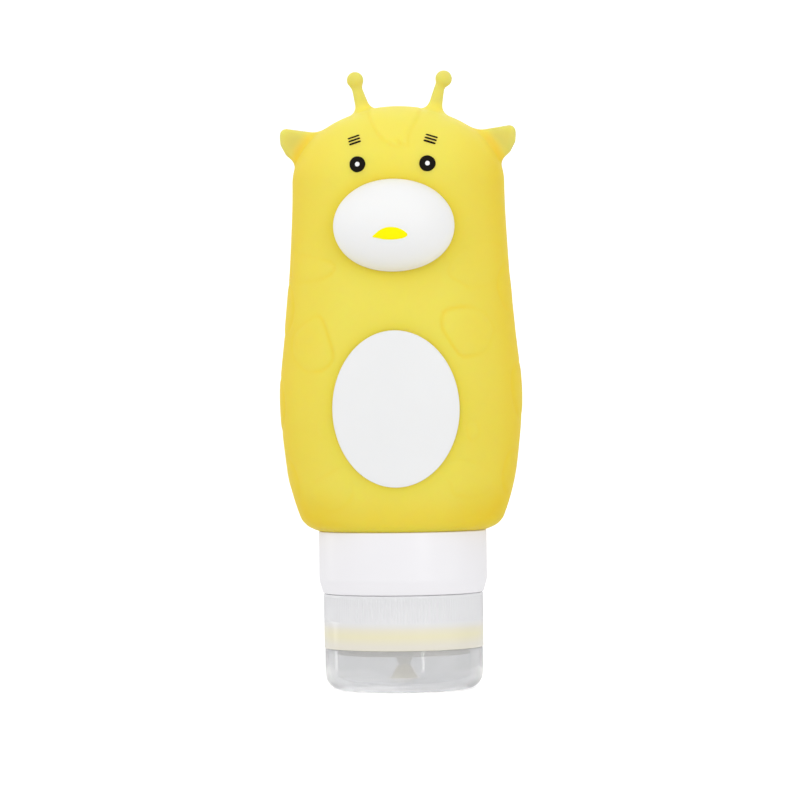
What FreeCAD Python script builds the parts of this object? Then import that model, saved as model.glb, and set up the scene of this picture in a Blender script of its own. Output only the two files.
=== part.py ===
import FreeCAD, Part
import os
import Sketcher

# Travel squeeze bottle of soft silicone in the form of a giraffe, standing on its flip lid.
# The origin is the middle of the lid's flat end, +Z runs up to the horns and the face looks along -Y.
# All sizes are in millimetres.

SIZES = [
    # Flip lid
    ("lid_height", 8.95, "lid from its flat end to the seam"),
    ("lid_wall", 1.4, "side wall of the lid"),
    ("lid_end", 1.7, "flat end wall of the lid"),
    ("lid_step", 0.3, "how far the lid's side stands back from the cap's"),
    ("lid_edge_radius", 3.4, "rounded outer edge of the lid"),
    ("lid_corner_radius", 2.0, "rounded inner corner of the lid"),
    ("seam_gap", 0.2, "open seam between lid and cap"),
    # Screw cap
    ("base_height", 11.85, "cap from the seam to its open rim"),
    ("base_wall", 1.5, "side wall of the cap behind the thread"),
    ("deck_step", 1.4, "how far the deck reaches into the lid"),
    ("deck_gap", 0.5, "free space between the deck's step and the lid's wall"),
    ("deck_plate", 1.5, "plate under the valve"),
    ("nozzle_length", 2.7, "nozzle below the deck"),
    ("nozzle_root_radius", 2.25, "nozzle at the deck"),
    ("nozzle_tip_radius", 1.4, "nozzle at its tip"),
    ("nozzle_bore_radius", 0.9, "passage through the nozzle"),
    ("plug_radius", 3.45, "foot of the plug on the lid"),
    ("plug_gap", 0.3, "space between the plug's shoulder and the nozzle"),
    ("plug_pin_length", 1.0, "pin on the plug that enters the nozzle"),
    ("plug_pin_gap", 0.35, "free space round that pin, for the lid's swing"),
    # Hinge of the lid
    ("knuckle_radius", 1.8, "hinge knuckle"),
    ("knuckle_width", 7.5, "the lid's knuckle between the lugs"),
    ("hinge_gap", 0.4, "space between the knuckle and the cap's side"),
    ("lug_width", 2.5, "each lug on the cap"),
    ("lug_gap", 0.2, "space between the knuckle's end and a lug"),
    ("trunnion_radius", 0.85, "stub pins on the lid's knuckle"),
    ("trunnion_fit", 0.06, "running clearance round the stub pins"),
    # Valve
    ("valve_radius", 9.8, "outer edge of the valve"),
    ("valve_rim", 0.9, "thickness of the valve's rim"),
    ("valve_skin", 0.6, "thickness of the domed middle"),
    ("valve_rise", 1.4, "height of the domed middle above the rim"),
    ("valve_dome_radius", 5.8, "foot of the domed middle"),
    ("valve_bend_radius", 2.9, "bend of the dome between its foot and its top"),
    ("valve_bend_rise", 1.05, "height of that bend above the rim"),
    ("slit_reach", 2.4, "half the length of each slit"),
    ("slit_width", 0.12, "width of each slit"),
    ("well_fit", 0.15, "space round the valve in its well"),
    ("retainer_height", 1.0, "ring over the valve's rim"),
    ("retainer_bore_radius", 6.8, "opening of that ring"),
    ("retainer_fit", 0.05, "space round that ring in the well"),
    # Neck, lip and collar
    ("neck_radius", 12.75, "outside of the silicone neck"),
    ("neck_wall", 2.0, "wall of the neck"),
    ("neck_fit", 0.2, "space between the neck and the collar"),
    ("lip_height", 2.1, "soft sealing lip at the end of the neck"),
    ("lip_inset", 0.1, "how far the lip stands back from the spigot's side"),
    ("spigot_wall", 1.7, "tube of the collar that carries the thread"),
    ("thread_depth", 0.95, "height of the thread"),
    ("thread_lead", 3.8, "rise of the thread in one turn"),
    ("thread_root_width", 1.3, "thread at its root"),
    ("thread_crest_width", 0.65, "thread at its crest"),
    ("thread_fit", 0.25, "space between a crest and the root across from it"),
    ("thread_root_depth", 0.2, "how far a ridge reaches into the wall that carries it"),
    ("thread_run_in", 1.1, "plain end of the spigot before the thread"),
    ("thread_run_out", 1.7, "plain stretch after the thread"),
    ("rim_gap", 0.2, "space between the cap's rim and the collar"),
    ("collar_height", 13.4, "side of the collar"),
    ("collar_step", 0.8, "how far the collar stands out past the cap"),
    ("collar_wall", 1.7, "outer wall of the collar"),
    ("collar_floor", 2.2, "floor between the collar's two walls"),
    ("collar_taper_height", 2.8, "drawn-in lower edge of the collar, its height"),
    ("collar_taper_depth", 0.65, "drawn-in lower edge of the collar, its depth"),
    # Silicone body, from the collar up
    ("shoulder_overhang", 0.2, "foot of the body past the collar's side"),
    ("bend_height", 1.2, "bend of the rounded foot above the collar"),
    ("bend_half_width", 20.75, "bend of the rounded foot"),
    ("bend_flatness", 1.85, "how much less deep than wide it is"),
    ("shoulder_height", 3.0, "rounded foot of the body"),
    ("shoulder_half_width", 22.2, "top of the rounded foot"),
    ("shoulder_flatness", 3.0, "how much less deep than wide it is"),
    ("flank_height", 12.15, "from the foot to the flank"),
    ("flank_half_width", 25.3, "flank"),
    ("flank_flatness", 5.4, "how much less deep than wide it is"),
    ("belly_height", 14.0, "from the flank to the belly"),
    ("belly_half_width", 26.4, "belly, the widest place"),
    ("belly_flatness", 6.1, "how much less deep than wide it is"),
    ("waist_height", 15.6, "from the belly to the waist"),
    ("waist_half_width", 25.05, "waist"),
    ("waist_flatness", 5.1, "how much less deep than wide it is"),
    ("chest_height", 14.0, "from the waist to the chest"),
    ("chest_half_width", 23.85, "chest"),
    ("chest_flatness", 4.65, "how much less deep than wide it is"),
    ("head_height", 16.85, "from the chest to the foot of the crown"),
    ("head_half_width", 23.15, "head at the foot of the crown"),
    ("head_flatness", 4.4, "how much less deep than wide it is"),
    ("crown_height", 16.65, "dome of the head"),
    ("body_wall", 3.2, "wall of the body"),
    ("floor_wall", 1.6, "wall over the collar"),
    # Ears and horns
    ("ear_thickness", 3.8, "ear from front to back"),
    ("ear_edge_flat", 1.0, "flat left between the roundings of the ear's edge"),
    ("ear_tip_reach", 2.85, "tip of the ear past the side of the head"),
    ("ear_tip_height", 13.35, "tip of the ear above the foot of the crown"),
    ("ear_bend_reach", 2.05, "bend of the ear past the side of the head"),
    ("ear_bend_height", 7.55, "bend of the ear above the foot of the crown"),
    ("ear_low_inset", 0.3, "lower corner of the ear inside the side of the head"),
    ("ear_low_height", 4.2, "lower edge of the ear above the foot of the crown"),
    ("ear_root_height", 11.0, "upper edge of the ear where it leaves the head"),
    ("ear_root_depth", 5.2, "how far the ear's root reaches into the head"),
    ("horn_spacing", 15.5, "between the feet of the horns"),
    ("horn_length", 7.25, "horn from the crown to the middle of its knob"),
    ("horn_lean", 15.0, "lean of each horn to its side, in degrees"),
    ("horn_root_radius", 1.9, "foot of the horn"),
    ("horn_tip_radius", 1.05, "horn below its knob"),
    ("horn_knob_radius", 1.85, "round knob of the horn"),
    ("horn_root_depth", 1.3, "foot of the horn below the crown's surface"),
    # Face and belly
    ("muzzle_half_width", 13.0, "muzzle"),
    ("muzzle_flatness", 2.8, "how much less tall than wide it is"),
    ("muzzle_depth", 9.4, "bulge of the muzzle"),
    ("muzzle_sink", 1.9, "middle of the bulge behind the head's surface"),
    ("muzzle_drop", 10.0, "middle of the muzzle below the foot of the crown"),
    ("muzzle_skin", 1.2, "white skin of the muzzle"),
    ("bulge_wall", 2.2, "wall of the yellow bulge behind it"),
    ("mouth_width", 7.1, "mouth"),
    ("mouth_upper", 1.5, "mouth above its corners"),
    ("mouth_lower", 0.93, "mouth below its corners"),
    ("mouth_drop", 2.15, "mouth's corners below the middle of the muzzle"),
    ("mouth_depth", 0.5, "depth of the mouth's inlay"),
    ("inlay_fit", 0.03, "fine line round an inlay"),
    ("panel_half_width", 13.7, "oval on the belly"),
    ("panel_stretch", 3.1, "how much taller than wide it is, each way"),
    ("panel_drop", 2.7, "middle of the oval below the widest place"),
    ("panel_depth", 1.0, "thickness of the oval's inlay"),
    ("ink", 0.15, "thickness of a print"),
    ("eye_radius", 1.73, "eye"),
    ("eye_spacing", 15.0, "between the middles of the eyes"),
    ("eye_height", 3.3, "eyes above the foot of the crown"),
    ("glint_radius", 0.52, "white dot in the eye"),
    ("brow_spacing", 16.4, "between the middles of the brows"),
    ("brow_height", 8.6, "brows above the foot of the crown"),
    ("brow_lean", 17.0, "slope of the strokes, in degrees"),
    ("stroke_length", 2.35, "each stroke of a brow"),
    ("stroke_width", 0.27, "thickness of a stroke"),
    ("stroke_pitch", 0.7, "from one stroke to the next"),
]

# Places that follow from the sizes, from the lid's flat end up and from the axis out
PLACES = [
    ("seam_z", "Sizes.lid_height + Sizes.seam_gap"),
    ("deck_z", "seam_z - Sizes.deck_step"),
    ("nozzle_z", "deck_z - Sizes.nozzle_length"),
    ("well_z", "deck_z + Sizes.deck_plate"),
    ("rim_of_valve_z", "well_z + Sizes.valve_rim"),
    ("lip_z", "rim_of_valve_z + Sizes.retainer_height"),
    ("spigot_z", "lip_z + Sizes.lip_height"),
    ("rim_z", "seam_z + Sizes.base_height"),
    ("collar_z", "rim_z + Sizes.rim_gap"),
    ("collar_top_z", "collar_z + Sizes.collar_height"),
    ("bend_z", "collar_top_z + Sizes.bend_height"),
    ("shoulder_z", "collar_top_z + Sizes.shoulder_height"),
    ("flank_z", "shoulder_z + Sizes.flank_height"),
    ("belly_z", "flank_z + Sizes.belly_height"),
    ("waist_z", "belly_z + Sizes.waist_height"),
    ("chest_z", "waist_z + Sizes.chest_height"),
    ("head_z", "chest_z + Sizes.head_height"),
    ("neck_bore", "Sizes.neck_radius - Sizes.neck_wall"),
    ("collar_bore", "Sizes.neck_radius + Sizes.neck_fit"),
    ("spigot_radius", "collar_bore + Sizes.spigot_wall"),
    ("thread_crest", "spigot_radius + Sizes.thread_depth"),
    ("cap_root", "thread_crest + Sizes.thread_fit"),
    ("cap_crest", "cap_root - Sizes.thread_depth"),
    ("base_radius", "cap_root + Sizes.base_wall"),
    ("lid_radius", "base_radius - Sizes.lid_step"),
    ("lid_bore", "lid_radius - Sizes.lid_wall"),
    ("deck_radius", "lid_bore - Sizes.deck_gap"),
    ("collar_radius", "base_radius + Sizes.collar_step"),
    ("lip_radius", "spigot_radius - Sizes.lip_inset"),
    ("well_radius", "Sizes.valve_radius + Sizes.well_fit"),
    ("hinge_y", "base_radius + Sizes.hinge_gap + Sizes.knuckle_radius"),
    ("hinge_z", "Sizes.lid_height + Sizes.seam_gap / 2"),
    ("head_half_depth", "Sizes.head_half_width - Sizes.head_flatness"),
    ("muzzle_y", "Sizes.muzzle_sink - head_half_depth"),
    ("muzzle_z", "head_z - Sizes.muzzle_drop"),
    ("mouth_z", "muzzle_z - Sizes.mouth_drop"),
    ("panel_z", "belly_z - Sizes.panel_drop"),
    ("horn_x", "Sizes.horn_spacing / 2"),
    ("horn_z", "head_z + Sizes.crown_height * sqrt(1 - (horn_x / Sizes.head_half_width)^2)"),
    ("thread_start", "spigot_z + Sizes.thread_run_in"),
    ("front_reach", "Sizes.belly_half_width + Sizes.muzzle_depth"),
]

doc = FreeCAD.newDocument("TravelBottle")
sheet = doc.addObject("Spreadsheet::Sheet", "Sizes")
for row, (alias, value, meaning) in enumerate(SIZES, 1):
    sheet.set(f"A{row}", meaning)
    sheet.set(f"B{row}", str(value))
    sheet.setAlias(f"B{row}", alias)
places = doc.addObject("Spreadsheet::Sheet", "Places")
for row, (alias, formula) in enumerate(PLACES, 1):
    places.set(f"B{row}", "=" + formula)
    places.setAlias(f"B{row}", alias)
doc.recompute()

FACING_FRONT = FreeCAD.Rotation(FreeCAD.Vector(1, 0, 0), 90)
UPRIGHT_OVAL = FreeCAD.Rotation(FreeCAD.Vector(1, 1, 1), -120)
ALONG_X = FreeCAD.Rotation(FreeCAD.Vector(0, 1, 0), 90)
REACH = "Places.front_reach"
CLOSE = 1e-4


def bind(thing, **formulas):
    """Tie a piece's properties to formulas of the sheets."""
    for name, formula in formulas.items():
        thing.setExpression(name, formula)
    return thing


def put(thing, x="0", y="0", z="0"):
    """Tie the place of a piece to formulas of the sheets."""
    thing.setExpression("Placement.Base.x", x)
    thing.setExpression("Placement.Base.y", y)
    thing.setExpression("Placement.Base.z", z)
    return thing


def join(kind, name, **links):
    """Make a boolean of other pieces."""
    result = doc.addObject(kind, name)
    for link, thing in links.items():
        setattr(result, link, thing)
    return result


def cut(name, base, tool):
    return join("Part::Cut", name, Base=base, Tool=tool)


def common(name, base, tool):
    return join("Part::Common", name, Base=base, Tool=tool)


def fuse(name, *shapes):
    return join("Part::MultiFuse", name, Shapes=list(shapes))


def plane_of(body, role):
    return next(plane for plane in body.Origin.OriginFeatures if plane.Role == role)


def outline(body, name, role, corners):
    """Closed outline through corners, each a pair of formulas; None puts a corner on the axis."""
    sketch = body.newObject("Sketcher::SketchObject", name)
    sketch.AttachmentSupport = [(plane_of(body, role), "")]
    sketch.MapMode = "FlatFace"
    points = []
    for across, up in corners:
        reach = 0 if across is None else sketch.evalExpression(across)
        points.append(FreeCAD.Vector(reach, sketch.evalExpression(up), 0))
    count = len(points)
    for index, point in enumerate(points):
        sketch.addGeometry(Part.LineSegment(point, points[(index + 1) % count]))
    for index in range(count):
        sketch.addConstraint(Sketcher.Constraint("Coincident", index, 2, (index + 1) % count, 1))
    for index, (across, up) in enumerate(corners):
        if across is None:
            sketch.addConstraint(Sketcher.Constraint("PointOnObject", index, 1, -2))
        else:
            reach = Sketcher.Constraint("DistanceX", -1, 1, index, 1, points[index].x)
            sketch.setExpression(f"Constraints[{sketch.addConstraint(reach)}]", across)
        rise = Sketcher.Constraint("DistanceY", -1, 1, index, 1, points[index].y)
        sketch.setExpression(f"Constraints[{sketch.addConstraint(rise)}]", up)
    return sketch


def circle(body, name, role, across, up, radius):
    """Round outline on one of a body's planes."""
    sketch = body.newObject("Sketcher::SketchObject", name)
    sketch.AttachmentSupport = [(plane_of(body, role), "")]
    sketch.MapMode = "FlatFace"
    middle = FreeCAD.Vector(sketch.evalExpression(across), sketch.evalExpression(up), 0)
    size = sketch.evalExpression(radius)
    sketch.addGeometry(Part.Circle(middle, FreeCAD.Vector(0, 0, 1), size))
    for constraint, formula in ((Sketcher.Constraint("DistanceX", -1, 1, 0, 3, middle.x), across),
                                (Sketcher.Constraint("DistanceY", -1, 1, 0, 3, middle.y), up),
                                (Sketcher.Constraint("Radius", 0, size), radius)):
        sketch.setExpression(f"Constraints[{sketch.addConstraint(constraint)}]", formula)
    return sketch


def pad(body, name, sketch, length, start):
    """Raise an outline from a start off its plane."""
    sketch.setExpression("AttachmentOffset.Base.z", start)
    feature = body.newObject("PartDesign::Pad", name)
    feature.Profile = sketch
    bind(feature, Length=length)
    doc.recompute()
    return feature


def turned(name, corners):
    """A body turned about the bottle's axis from an outline of radii and heights."""
    body = doc.addObject("PartDesign::Body", name)
    profile = outline(body, name + "_outline", "XZ_Plane", corners)
    turn = body.newObject("PartDesign::Revolution", name + "_turned")
    turn.Profile = profile
    turn.ReferenceAxis = (profile, ["V_Axis"])
    turn.Angle = 360
    doc.recompute()
    return body


def round_edge(body, name, radius, height, size):
    """Round the circular edge of a turned body at a radius and a height."""
    base = body.Tip
    across = base.evalExpression(radius)
    level = base.evalExpression(height)
    names = []
    for number, edge in enumerate(base.Shape.Edges, 1):
        curve = edge.Curve
        if curve.TypeId != "Part::GeomCircle":
            continue
        if abs(curve.Radius - across) < CLOSE and abs(curve.Center.z - level) < CLOSE:
            names.append(f"Edge{number}")
    fillet = body.newObject("PartDesign::Fillet", name)
    fillet.Base = (base, names)
    fillet.setExpression("Radius", size)
    doc.recompute()


def thread(body, name, buried, root, crest, start, turns):
    """A right-handed thread of one start, its ridge buried in the wall and rising from root to crest."""
    half_root = "Sizes.thread_root_width / 2"
    half_crest = "Sizes.thread_crest_width / 2"
    ridge = outline(body, name + "_ridge", "XZ_Plane", [
        (buried, f"{start} - {half_root}"),
        (root, f"{start} - {half_root}"),
        (crest, f"{start} - {half_crest}"),
        (crest, f"{start} + {half_crest}"),
        (root, f"{start} + {half_root}"),
        (buried, f"{start} + {half_root}"),
    ])
    helix = body.newObject("PartDesign::AdditiveHelix", name)
    helix.Profile = ridge
    helix.ReferenceAxis = (ridge, ["V_Axis"])
    helix.Mode = "pitch-turns-angle"
    helix.LeftHanded = False
    helix.Reversed = False
    bind(helix, Pitch="Sizes.thread_lead", Turns=turns)
    doc.recompute()


def oval(name, half_width, half_depth, x="0", y="0", z="0", rotation=FreeCAD.Rotation()):
    ring = doc.addObject("Part::Ellipse", name)
    ring.Placement.Rotation = rotation
    bind(ring, MajorRadius=half_width, MinorRadius=half_depth)
    return put(ring, x, y, z)


def loft(name, rings):
    shape = doc.addObject("Part::Loft", name)
    shape.Sections = rings
    shape.Solid = True
    return shape


# Rings of the lofts: the trunk's by name, the dome's and the bulge's by their angle above the middle plane
TRUNK_STAGES = ["shoulder", "flank", "belly", "waist", "chest", "head"]
DOME_ANGLES = [0, 18, 34, 48, 60, 70, 78, 84]
BULGE_ANGLES = [-24, -8, 8, 24, 38, 50, 60, 70, 78, 84]


def stage_oval(name, stage, inset):
    width = f"Sizes.{stage}_half_width - {inset}"
    return oval(name, width, f"{width} - Sizes.{stage}_flatness", z=f"Places.{stage}_z")


def trunk(name, inset):
    """The body between its foot and its crown, drawn in by an inset."""
    return loft(name, [stage_oval(f"{name}_{stage}", stage, inset) for stage in TRUNK_STAGES])


def crown(name, swell):
    """The dome of the head, grown by a swell."""
    width = f"(Sizes.head_half_width + {swell})"
    depth = f"(Places.head_half_depth + {swell})"
    rise = f"(Sizes.crown_height + {swell})"
    rings = []
    for angle in DOME_ANGLES:
        level = f"Places.head_z + {rise} * sin({angle})"
        ring_name = f"{name}_{angle}"
        rings.append(oval(ring_name, f"{width} * cos({angle})", f"{depth} * cos({angle})", z=level))
    return loft(name, rings)


def bulge(name, inset):
    """The bulge of the muzzle, drawn in by an inset."""
    width = f"(Sizes.muzzle_half_width - {inset})"
    height = f"(Sizes.muzzle_half_width - Sizes.muzzle_flatness - {inset})"
    depth = f"(Sizes.muzzle_depth - {inset})"
    rings = []
    for number, angle in enumerate(BULGE_ANGLES):
        forward = f"Places.muzzle_y - {depth} * sin({angle})"
        rings.append(oval(f"{name}_{number}", f"{width} * cos({angle})", f"{height} * cos({angle})",
                          y=forward, z="Places.muzzle_z", rotation=FACING_FRONT))
    return loft(name, rings)


def rod(name, radius, length, x="0", y="0", z="0", rotation=FreeCAD.Rotation()):
    cylinder = doc.addObject("Part::Cylinder", name)
    cylinder.Placement.Rotation = rotation
    bind(cylinder, Radius=radius, Height=length)
    return put(cylinder, x, y, z)


def block(name, length, width, height, x, y, z):
    box = doc.addObject("Part::Box", name)
    bind(box, Length=length, Width=width, Height=height)
    return put(box, x, y, z)


# Flip lid: a clear cup with a plug in the middle of its end, a knuckle at the back and two stub pins

plug_top = "Places.nozzle_z - Sizes.plug_gap"
pin_radius = "Sizes.nozzle_bore_radius - Sizes.plug_pin_gap"
pin_top = "Places.nozzle_z + Sizes.plug_pin_length"
lid_cup = turned("lid_cup", [
    (None, "0"),
    ("Places.lid_radius", "0"),
    ("Places.lid_radius", "Sizes.lid_height"),
    ("Places.lid_bore", "Sizes.lid_height"),
    ("Places.lid_bore", "Sizes.lid_end"),
    ("Sizes.plug_radius", "Sizes.lid_end"),
    ("Sizes.nozzle_tip_radius", plug_top),
    (pin_radius, plug_top),
    (pin_radius, pin_top),
    (None, pin_top),
])
round_edge(lid_cup, "lid_outer_edge", "Places.lid_radius", "0", "Sizes.lid_edge_radius")
round_edge(lid_cup, "lid_inner_corner", "Places.lid_bore", "Sizes.lid_end", "Sizes.lid_corner_radius")

knuckle_left = "-Sizes.knuckle_width / 2"
lug_left = f"{knuckle_left} - Sizes.lug_gap - Sizes.lug_width"
hinge_span = "Sizes.knuckle_width + 2 * Sizes.lug_gap + 2 * Sizes.lug_width"
at_hinge = {"y": "Places.hinge_y", "z": "Places.hinge_z", "rotation": ALONG_X}
lid_knuckle = rod("lid_knuckle", "Sizes.knuckle_radius", "Sizes.knuckle_width", x=knuckle_left, **at_hinge)
lid_trunnions = rod("lid_trunnions", "Sizes.trunnion_radius", hinge_span, x=lug_left, **at_hinge)
arm_root = "Places.lid_radius - Sizes.lid_wall / 2"
arm_foot = "Places.hinge_z - Sizes.knuckle_radius"
lid_arm = block("lid_arm", "Sizes.knuckle_width", f"Places.hinge_y - ({arm_root})",
                f"Sizes.lid_height - ({arm_foot})", knuckle_left, arm_root, arm_foot)
flip_lid = fuse("flip_lid", lid_cup, lid_arm, lid_knuckle, lid_trunnions)

# Screw cap: threaded inside, with a deck that carries the valve's well and the nozzle, and two hinge lugs

cap_base = turned("cap_base", [
    ("Sizes.nozzle_bore_radius", "Places.nozzle_z"),
    ("Sizes.nozzle_tip_radius", "Places.nozzle_z"),
    ("Sizes.nozzle_root_radius", "Places.deck_z"),
    ("Places.deck_radius", "Places.deck_z"),
    ("Places.deck_radius", "Places.seam_z"),
    ("Places.base_radius", "Places.seam_z"),
    ("Places.base_radius", "Places.rim_z"),
    ("Places.cap_root", "Places.rim_z"),
    ("Places.cap_root", "Places.lip_z"),
    ("Places.well_radius", "Places.lip_z"),
    ("Places.well_radius", "Places.well_z"),
    ("Sizes.nozzle_bore_radius", "Places.well_z"),
])
lug_root = "Places.base_radius - Sizes.base_wall / 2"
lug_top = "Places.hinge_z + Sizes.knuckle_radius"
lug_start = "Sizes.knuckle_width / 2 + Sizes.lug_gap"
lug_arm = outline(cap_base, "lug_arm_outline", "YZ_Plane", [
    (lug_root, "Places.seam_z"),
    ("Places.hinge_y", "Places.seam_z"),
    ("Places.hinge_y", lug_top),
    (lug_root, lug_top),
])
lug_round = circle(cap_base, "lug_round_outline", "YZ_Plane", "Places.hinge_y", "Places.hinge_z",
                   "Sizes.knuckle_radius")
lug_pads = [pad(cap_base, "lug_arm", lug_arm, "Sizes.lug_width", lug_start),
            pad(cap_base, "lug_round", lug_round, "Sizes.lug_width", lug_start)]
both_lugs = cap_base.newObject("PartDesign::Mirrored", "both_lugs")
both_lugs.Originals = lug_pads
both_lugs.MirrorPlane = (plane_of(cap_base, "YZ_Plane"), [""])
cap_base.Tip = both_lugs
doc.recompute()
lug_bore = circle(cap_base, "lug_bore_outline", "YZ_Plane", "Places.hinge_y", "Places.hinge_z",
                  "Sizes.trunnion_radius + Sizes.trunnion_fit")
bore = cap_base.newObject("PartDesign::Pocket", "lug_bore")
bore.Profile = lug_bore
bore.Midplane = True
bind(bore, Length=hinge_span)
doc.recompute()
cap_start = "(Places.thread_start - Sizes.thread_lead / 2)"
cap_rise = f"Places.rim_z - Sizes.thread_run_out - Sizes.thread_root_width / 2 - {cap_start}"
thread(cap_base, "cap_thread", "Places.cap_root + Sizes.thread_root_depth", "Places.cap_root",
       "Places.cap_crest", cap_start, f"({cap_rise}) / Sizes.thread_lead")

# Valve: a soft disc whose middle domes up towards the bottle and is slit crosswise

valve = turned("valve", [
    (None, "Places.rim_of_valve_z + Sizes.valve_rise"),
    (None, "Places.rim_of_valve_z + Sizes.valve_rise - Sizes.valve_skin"),
    ("Sizes.valve_bend_radius", "Places.rim_of_valve_z + Sizes.valve_bend_rise - Sizes.valve_skin"),
    ("Sizes.valve_dome_radius - Sizes.valve_skin", "Places.well_z"),
    ("Sizes.valve_radius", "Places.well_z"),
    ("Sizes.valve_radius", "Places.rim_of_valve_z"),
    ("Sizes.valve_dome_radius", "Places.rim_of_valve_z"),
    ("Sizes.valve_bend_radius", "Places.rim_of_valve_z + Sizes.valve_bend_rise"),
])
half_slit = "Sizes.slit_width / 2"
for direction, (reach, half) in {"across": ("Sizes.slit_reach", half_slit),
                                 "along": (half_slit, "Sizes.slit_reach")}.items():
    slit = outline(valve, f"slit_{direction}_outline", "XY_Plane",
                   [(f"-({reach})", f"-({half})"), (reach, f"-({half})"),
                    (reach, half), (f"-({reach})", half)])
    pocket = valve.newObject("PartDesign::Pocket", f"slit_{direction}")
    pocket.Profile = slit
    pocket.Type = "ThroughAll"
    pocket.Reversed = True
    doc.recompute()

# Ring that holds the valve's rim down in its well

retainer_radius = "Places.well_radius - Sizes.retainer_fit"
valve_retainer = turned("valve_retainer", [
    ("Sizes.retainer_bore_radius", "Places.rim_of_valve_z"),
    (retainer_radius, "Places.rim_of_valve_z"),
    (retainer_radius, "Places.lip_z"),
    ("Sizes.retainer_bore_radius", "Places.lip_z"),
])

# Collar: a cored ring round the neck, whose lower tube carries the thread for the cap

collar_core_z = "Places.collar_z + Sizes.collar_floor"
collar = turned("collar", [
    ("Places.collar_bore", "Places.spigot_z"),
    ("Places.spigot_radius", "Places.spigot_z"),
    ("Places.spigot_radius", "Places.collar_z"),
    ("Places.collar_radius - Sizes.collar_taper_depth", "Places.collar_z"),
    ("Places.collar_radius", "Places.collar_z + Sizes.collar_taper_height"),
    ("Places.collar_radius", "Places.collar_top_z"),
    ("Places.collar_radius - Sizes.collar_wall", "Places.collar_top_z"),
    ("Places.collar_radius - Sizes.collar_wall", collar_core_z),
    ("Places.spigot_radius", collar_core_z),
    ("Places.spigot_radius", "Places.collar_top_z"),
    ("Places.collar_bore", "Places.collar_top_z"),
])
spigot_rise = "Places.collar_z - Sizes.thread_run_out - Sizes.thread_root_width / 2 - Places.thread_start"
thread(collar, "collar_thread", "Places.spigot_radius - Sizes.thread_root_depth", "Places.spigot_radius",
       "Places.thread_crest", "Places.thread_start", f"({spigot_rise}) / Sizes.thread_lead")

# Silicone body: foot, trunk and crown of the head, hollow inside, with the neck and its sealing lip below

body_trunk = trunk("body_trunk", "0")
body_crown = crown("body_crown", "0")
foot_radius = "Places.collar_radius + Sizes.shoulder_overhang"
body_foot = loft("body_foot", [
    oval("foot_low", foot_radius, foot_radius, z="Places.collar_top_z"),
    stage_oval("foot_middle", "bend", "0"),
    stage_oval("foot_high", "shoulder", "0"),
])
neck = rod("neck", "Sizes.neck_radius", "Places.shoulder_z - Places.lip_z", z="Places.lip_z")
lip = rod("lip", "Places.lip_radius", "Sizes.lip_height", z="Places.lip_z")
face_bulge = bulge("face_bulge", "Sizes.muzzle_skin")

hollow_trunk = trunk("hollow_trunk", "Sizes.body_wall")
hollow_crown = crown("hollow_crown", "-Sizes.body_wall")
hollow_floor = loft("hollow_floor", [
    oval("floor_low", "Places.neck_bore", "Places.neck_bore", z="Places.collar_top_z + Sizes.floor_wall"),
    stage_oval("floor_high", "shoulder", "Sizes.body_wall"),
])
neck_bore = rod("neck_bore", "Places.neck_bore", "Places.shoulder_z - Places.lip_z", z="Places.lip_z")
hollow_bulge = bulge("hollow_bulge", "(Sizes.muzzle_skin + Sizes.bulge_wall)")

# Ears: flat leaves with rounded edges that stand on the crown, one drawn and the other mirrored

leaf = doc.addObject("PartDesign::Body", "leaf_right")
ear_outline = outline(leaf, "ear_outline", "XZ_Plane", [
    ("Sizes.head_half_width - Sizes.ear_root_depth", "Places.head_z + Sizes.ear_low_height"),
    ("Sizes.head_half_width - Sizes.ear_low_inset", "Places.head_z + Sizes.ear_low_height"),
    ("Sizes.head_half_width + Sizes.ear_bend_reach", "Places.head_z + Sizes.ear_bend_height"),
    ("Sizes.head_half_width + Sizes.ear_tip_reach", "Places.head_z + Sizes.ear_tip_height"),
    ("Sizes.head_half_width - Sizes.ear_root_depth", "Places.head_z + Sizes.ear_root_height"),
])
ear_pad = leaf.newObject("PartDesign::Pad", "ear_pad")
ear_pad.Profile = ear_outline
ear_pad.Midplane = True
bind(ear_pad, Length="Sizes.ear_thickness")
doc.recompute()
ear_round = leaf.newObject("PartDesign::Fillet", "ear_rounding")
ear_round.Base = (ear_pad, [""])
ear_round.UseAllEdges = True
bind(ear_round, Radius="(Sizes.ear_thickness - Sizes.ear_edge_flat) / 2")
doc.recompute()
other_leaf = doc.addObject("Part::Mirroring", "leaf_left")
other_leaf.Source = leaf
other_leaf.Normal = FreeCAD.Vector(1, 0, 0)
ears = [cut("ear_left", other_leaf, body_crown), cut("ear_right", leaf, body_crown)]

# Horns: tapered stems that stand on the crown and lean outwards, each with a round knob

horns = []
for side, sign in (("left", "-1"), ("right", "1")):
    lean_x = f"{sign} * sin(Sizes.horn_lean)"
    foot_x = f"{sign} * Places.horn_x - {lean_x} * Sizes.horn_root_depth"
    foot_z = "Places.horn_z - cos(Sizes.horn_lean) * Sizes.horn_root_depth"
    stem = doc.addObject("Part::Cone", f"horn_stem_{side}")
    stem.Placement.Rotation = FreeCAD.Rotation(FreeCAD.Vector(0, int(sign), 0), sheet.horn_lean)
    stem.setExpression("Placement.Rotation.Angle", "Sizes.horn_lean")
    bind(stem, Radius1="Sizes.horn_root_radius", Radius2="Sizes.horn_tip_radius",
         Height="Sizes.horn_length + Sizes.horn_root_depth")
    knob = doc.addObject("Part::Sphere", f"horn_knob_{side}")
    bind(knob, Radius="Sizes.horn_knob_radius")
    put(knob, x=f"{sign} * Places.horn_x + {lean_x} * Sizes.horn_length",
        z="Places.horn_z + cos(Sizes.horn_lean) * Sizes.horn_length")
    horn_form = fuse(f"horn_form_{side}", put(stem, x=foot_x, z=foot_z), knob)
    horns.append(cut(f"horn_{side}", horn_form, body_crown))

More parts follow.
